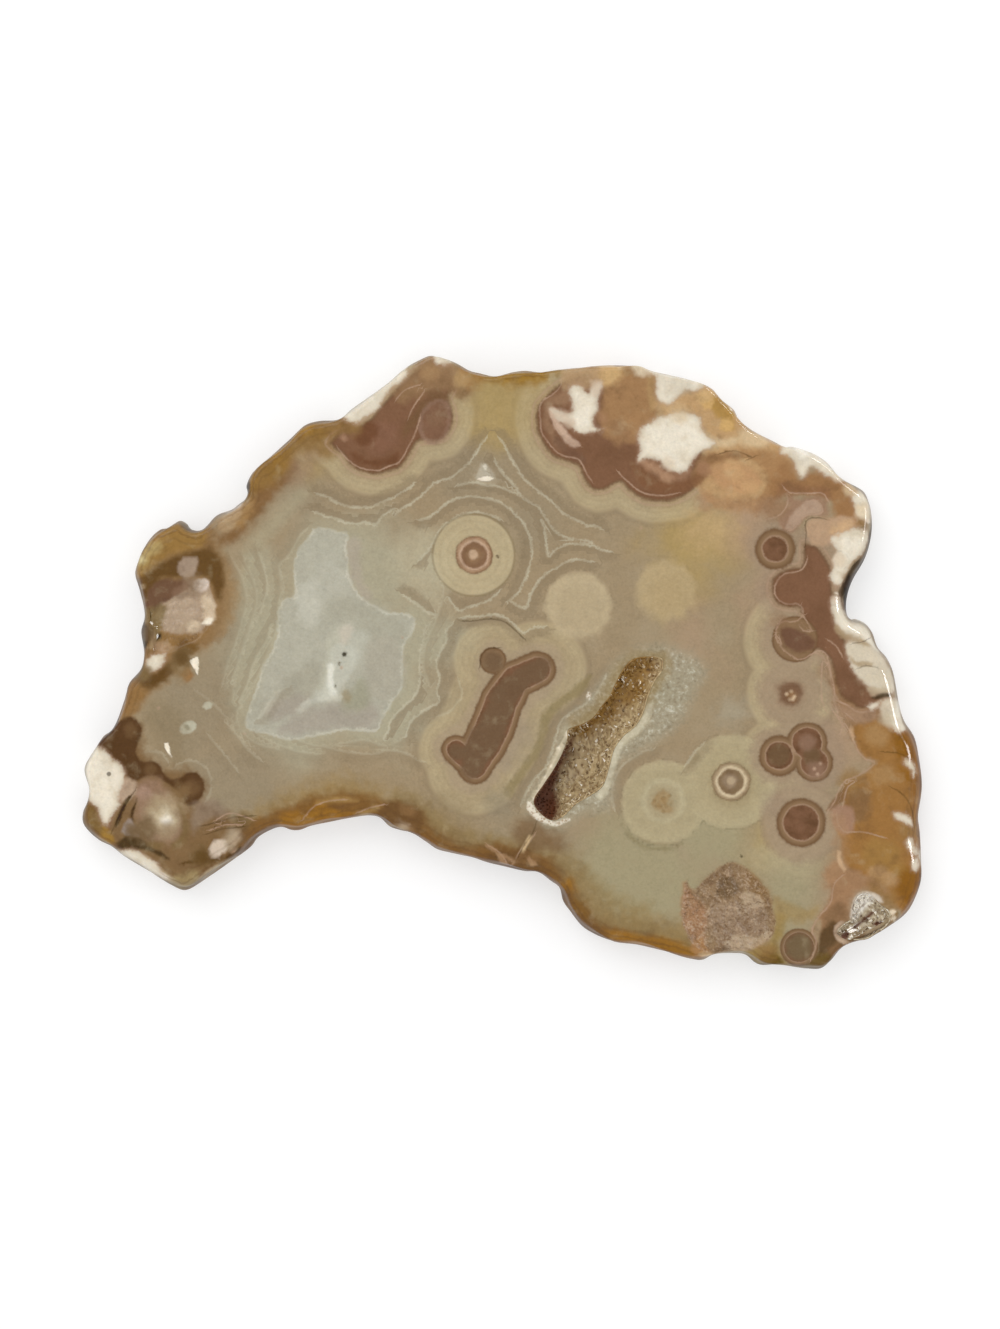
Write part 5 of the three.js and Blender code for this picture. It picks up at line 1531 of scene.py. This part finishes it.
def crystal_tree(material):
    """Geometry nodes that grow six-sided crystals with pointed ends out of a bed."""
    tree = bpy.data.node_groups.new("quartz_crystals", "GeometryNodeTree")
    for name, kind, way in (
        ("Bed", "NodeSocketGeometry", "INPUT"), ("Crystal width", "NodeSocketFloat", "INPUT"),
        ("Seed", "NodeSocketInt", "INPUT"), ("Crust", "NodeSocketGeometry", "OUTPUT"),
    ):
        tree.interface.new_socket(name, in_out=way, socket_type=kind)
    given = tree.nodes.new("NodeGroupInput").outputs
    bed, width, seed = given["Bed"], given["Crystal width"], given["Seed"]

    def field(name):
        return add_node(tree, "GeometryNodeInputNamedAttribute", {"Name": name}, data_type="FLOAT")

    def chance(kind, low, high, salt):
        own_seed = add_node(tree, "ShaderNodeMath", {0: seed, 1: salt}, operation="ADD")
        outs = {"FLOAT": 1, "FLOAT_VECTOR": 0}
        first = {"FLOAT": 2, "FLOAT_VECTOR": 0}[kind]
        return add_node(tree, "FunctionNodeRandomValue", {first: low, first + 1: high, "Seed": own_seed},
                        out=outs[kind], data_type=kind)

    half = add_node(tree, "ShaderNodeMath", {0: width, 1: 0.5}, operation="MULTIPLY")
    tip = add_node(tree, "GeometryNodeMeshCone", {
        "Vertices": 6, "Radius Bottom": half, "Depth": add_node(
            tree, "ShaderNodeMath", {0: width, 1: 1.3}, operation="MULTIPLY")})
    lift = add_node(tree, "ShaderNodeCombineXYZ", {
        "Z": add_node(tree, "ShaderNodeMath", {0: width, 1: -0.35}, operation="MULTIPLY")})
    crystal = add_node(tree, "GeometryNodeTransform", {"Geometry": tip, "Translation": lift})

    scatter = tree.nodes.new("GeometryNodeDistributePointsOnFaces")
    scatter.distribute_method = "POISSON"
    tree.links.new(bed, scatter.inputs["Mesh"])
    spacing = add_node(tree, "ShaderNodeMath", {0: width, 1: 0.62}, operation="MULTIPLY")
    tree.links.new(spacing, scatter.inputs["Distance Min"])
    scatter.inputs["Density Max"].default_value = 8e6
    tree.links.new(field("growing"), scatter.inputs["Density Factor"])
    tree.links.new(seed, scatter.inputs["Seed"])
    turn = add_node(tree, "FunctionNodeRotateRotation", {
        "Rotation": scatter.outputs["Rotation"],
        "Rotate By": chance("FLOAT_VECTOR", (-0.8, -0.8, 0.0), (0.8, 0.8, 1.0), 1)}, rotation_space="LOCAL")
    size = add_node(tree, "ShaderNodeVectorMath", {
        0: chance("FLOAT_VECTOR", (0.7, 0.7, 0.6), (1.4, 1.4, 1.5), 2), "Scale": field("growing")},
        operation="SCALE")
    grown = add_node(tree, "GeometryNodeInstanceOnPoints", {
        "Points": scatter.outputs["Points"], "Instance": crystal, "Rotation": turn, "Scale": size})
    toned = add_node(tree, "GeometryNodeStoreNamedAttribute", {
        "Geometry": grown, "Name": "tone", "Value": chance("FLOAT", 0.0, 1.0, 3)},
        data_type="FLOAT", domain="INSTANCE")
    real = add_node(tree, "GeometryNodeRealizeInstances", {"Geometry": toned})
    both = tree.nodes.new("GeometryNodeJoinGeometry")
    tree.links.new(bed, both.inputs[0])
    tree.links.new(real, both.inputs[0])
    painted = add_node(tree, "GeometryNodeSetMaterial", {"Geometry": both.outputs[0], "Material": material})
    out = tree.nodes.new("NodeGroupOutput")
    tree.links.new(painted, out.inputs["Crust"])
    return tree


def crystal_crust(name, hollow, width, seed, material, stain_and_glare_at, shade_at):
    """A crust of crystals that lines a hollow: a closed bed grown over with crystals, all below the face."""
    outer = hollow_rings(hollow, CRUST_GAP_MM)[1:]
    inner = hollow_rings(hollow, CRUST_GAP_MM + CRUST_BED_MM)[1:]
    parts = MeshParts()
    parts.add_wall(outer[::-1] + inner)
    parts.add(outer[-1], ring_fill(outer[-1]))
    parts.add(inner[-1], ring_fill(inner[-1]))
    bed = parts.to_object(name + "_bed")
    co = points_of(bed.data)
    surface = np.vstack(inner)
    on_inner = np.array([np.min(np.sum((surface - point) ** 2, axis=1)) < 1e-6 for point in co])
    on_inner |= co[:, 2] > outer[0][0, 2] - 1e-3
    headroom = np.clip((THICKNESS_MM - co[:, 2]) / (width / MM * 1.6), 0.45, 1)
    store(bed.data, "growing", np.where(on_inner, headroom, 0))
    store(bed.data, "stain_and_glare", stain_and_glare_at(co))
    store(bed.data, "shade", shade_at(co))
    store(bed.data, "tone", [0.35 + 0.6 * noise.noise(Vector(point) / BED_TONE_SIZE_MM) for point in co])
    tree = crystal_tree(material)
    grow = bed.modifiers.new("crystals", "NODES")
    grow.node_group = tree
    sockets = {item.name: item.identifier for item in tree.interface.items_tree if item.in_out == "INPUT"}
    grow[sockets["Crystal width"]] = width
    grow[sockets["Seed"]] = seed
    seen = bed.evaluated_get(bpy.context.evaluated_depsgraph_get())
    mesh = bpy.data.meshes.new_from_object(seen)
    bpy.data.objects.remove(bed)
    co = points_of(mesh)
    co[:, 2] = np.minimum(co[:, 2], THICKNESS_MM - CRUST_BELOW_FACE_MM)
    mesh.vertices.foreach_set("co", (co * MM).ravel())
    mesh.name = name
    piece = bpy.data.objects.new(name, mesh)
    bpy.context.scene.collection.objects.link(piece)
    return piece


class AGATE_OT_slab(bpy.types.Operator):
    """Builds the stone itself, with its rind, hollows and markings."""

    bl_idname = "agate.slab"
    bl_label = "Agate slab"

    def execute(self, context):
        rings = rind_rings(context.scene.agate_sizes)
        parts = MeshParts()
        parts.add_wall([np.column_stack([ring, np.full(len(ring), height)]) for height, ring in rings])
        hollows = [hollow_rings(hollow) for hollow in (VUG, CORNER_POCKET)]
        face, faces = face_fill(rings[-1][1], [walls[0][:, :2] for walls in hollows], TOP_SPACING_MM, FINE_PLACES)
        parts.add(np.column_stack([face, THICKNESS_MM - dish_depth(face)]), faces)
        under, under_faces = face_fill(rings[0][1], [], UNDER_SPACING_MM, "")
        parts.add(np.column_stack([under, np.zeros(len(under))]), under_faces)
        for walls in hollows:
            parts.add_wall(walls)
            parts.add(walls[-1], ring_fill(walls[-1]))
        piece = parts.to_object("polished_agate")
        write_markings(piece)
        colours = context.scene.agate_colours
        piece.data.materials.append(agate_material("tumble_polished_agate", colours, 1.0))
        piece.data.materials.append(agate_material("worn_agate_rind", colours, 0.0))
        for face in piece.data.polygons:
            face.material_index = int(abs(face.normal.z) < STEEP_RIM)
        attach(piece, BODY)
        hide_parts("agate_slab")
        return {"FINISHED"}


class AGATE_OT_vug_druse(bpy.types.Operator):
    """Grows the crust of quartz crystals in the open hollow."""

    bl_idname = "agate.vug_druse"
    bl_label = "Quartz in the open hollow"

    def execute(self, context):
        colours = context.scene.agate_colours
        material = quartz_material("iron_stained_quartz", colours.crystal_pale, colours.crystal_brown, 0.0, 0.04,
                                   0.14)

        def stain_and_glare_at(co):
            return np.clip(-discs_distance(co[:, :2], VUG_STAINS) / 1.5 + 0.3, 0, 1)

        def shade_at(co):
            return np.clip(-region_distance(co[:, :2], smooth_loop(VUG_SHADE)) / 1.1 + 0.45, 0, 1)

        piece = crystal_crust("vug_druse", VUG, context.scene.agate_sizes.crystal_width, 5, material,
                              stain_and_glare_at, shade_at)
        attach(piece, BODY)
        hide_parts("vug_crystals")
        return {"FINISHED"}


class AGATE_OT_corner_druse(bpy.types.Operator):
    """Grows the crust of quartz crystals in the corner pocket."""

    bl_idname = "agate.corner_druse"
    bl_label = "Quartz in the corner pocket"

    def execute(self, context):
        colours = context.scene.agate_colours
        material = quartz_material(
            "clear_quartz_with_painted_glare", colours.crystal_white, colours.crystal_glare, 0.06, 0.4, 0.3)

        # Painted glare: crystals near the glassy side are blended towards the glare colour; the gaps get painted shade
        def stain_and_glare_at(co):
            return np.clip(-regions_distance(co[:, :2], CORNER_GLARE) / 0.6 + 0.4, 0, 1)

        def shade_at(co):
            return np.clip(-regions_distance(co[:, :2], CORNER_GAPS) / 0.3 + 0.5, 0, 1)

        piece = crystal_crust("corner_druse", CORNER_POCKET, context.scene.agate_sizes.corner_crystal_width, 9,
                              material, stain_and_glare_at, shade_at)
        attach(piece, BODY)
        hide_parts("corner_crystals")
        return {"FINISHED"}


def soft_light(name, at, aim, width, height, watts, lights_matt=True):
    """A rectangular studio light at a place in metres, turned to face another; it may show in gloss alone."""
    lamp = bpy.data.lights.new(name, "AREA")
    lamp.shape = "RECTANGLE"
    lamp.size, lamp.size_y = width, height
    lamp.energy = watts
    holder = bpy.data.objects.new(name, lamp)
    holder.location = at
    holder.rotation_euler = (Vector(aim) - Vector(at)).to_track_quat("-Z", "Y").to_euler()
    holder.visible_diffuse = lights_matt
    bpy.context.scene.collection.objects.link(holder)


class AGATE_OT_stage(bpy.types.Operator):
    """Sets the pale floor, the soft studio lights and the camera."""

    bl_idname = "agate.stage"
    bl_label = "Stage"

    def execute(self, context):
        scene = context.scene
        mesh = bpy.data.meshes.new("floor")
        r = FLOOR_REACH
        mesh.from_pydata([(-r, -r, 0), (r, -r, 0), (r, r, 0), (-r, r, 0)], [], [(0, 1, 2, 3)])
        floor = bpy.data.objects.new("floor", mesh)
        scene.collection.objects.link(floor)
        paper = bpy.data.materials.new("white_acrylic_light_table")
        # The table glows a little, as a light table does, so that the slab's shadow stays faint
        StonePaint(paper).finish({
            "Base Color": scene.agate_colours.floor, "Roughness": 0.9, "Specular IOR Level": 0.2,
            "Emission Color": linear("#ffffff"), "Emission Strength": FLOOR_GLOW})
        mesh.materials.append(paper)

        world = bpy.data.worlds.new("studio")
        world.use_nodes = True
        world.node_tree.nodes["Background"].inputs["Color"].default_value = linear("#ffffff")
        world.node_tree.nodes["Background"].inputs["Strength"].default_value = 0.93
        scene.world = world
        top = THICKNESS_MM * MM
        soft_light("panel_left", (-0.35, 0.55, 0.85), (0, 0, top), 0.7, 0.7, 2.9)
        soft_light("window_right", (0.5, 0.06, 0.35), (0.04, 0, top), 0.14, 0.3, 3.6, False)
        soft_light("window_corner", (0.36, 0.4, 0.36), (0.04, 0, top), 0.14, 0.26, 2.8, False)

        lens = bpy.data.cameras.new("camera")
        lens.lens = 85
        lens.clip_start = 0.01
        camera = bpy.data.objects.new("camera", lens)
        camera.location = (CAMERA_AT[0], CAMERA_AT[1], CAMERA_AT[2])
        scene.collection.objects.link(camera)
        scene.camera = camera
        scene.view_settings.view_transform = "Standard"
        return {"FINISHED"}


class AGATE_PT_panel(bpy.types.Panel):
    """Lists the steps that build the slab, and its sizes and colours."""

    bl_idname = "AGATE_PT_panel"
    bl_label = "Polished agate slab"
    bl_space_type = "VIEW_3D"
    bl_region_type = "UI"
    bl_category = "Agate"

    def draw(self, context):
        for operator in OPERATORS:
            self.layout.operator(operator.bl_idname)
        for group in (context.scene.agate_sizes, context.scene.agate_colours):
            for name in group.bl_rna.properties.keys():
                if name not in ("rna_type", "name"):
                    self.layout.prop(group, name)


OPERATORS = (AGATE_OT_slab, AGATE_OT_vug_druse, AGATE_OT_corner_druse, AGATE_OT_stage)
CLASSES = (AgateSizes, AgateColours, *OPERATORS, AGATE_PT_panel)


def register():
    for each in CLASSES:
        bpy.utils.register_class(each)
    bpy.types.Scene.agate_sizes = bpy.props.PointerProperty(type=AgateSizes)
    bpy.types.Scene.agate_colours = bpy.props.PointerProperty(type=AgateColours)


def unregister():
    del bpy.types.Scene.agate_colours
    del bpy.types.Scene.agate_sizes
    for each in reversed(CLASSES):
        bpy.utils.unregister_class(each)


def main():
    register()
    bpy.ops.agate.slab()
    bpy.ops.agate.vug_druse()
    bpy.ops.agate.corner_druse()
    bpy.ops.agate.stage()


if __name__ == "__main__":
    main()
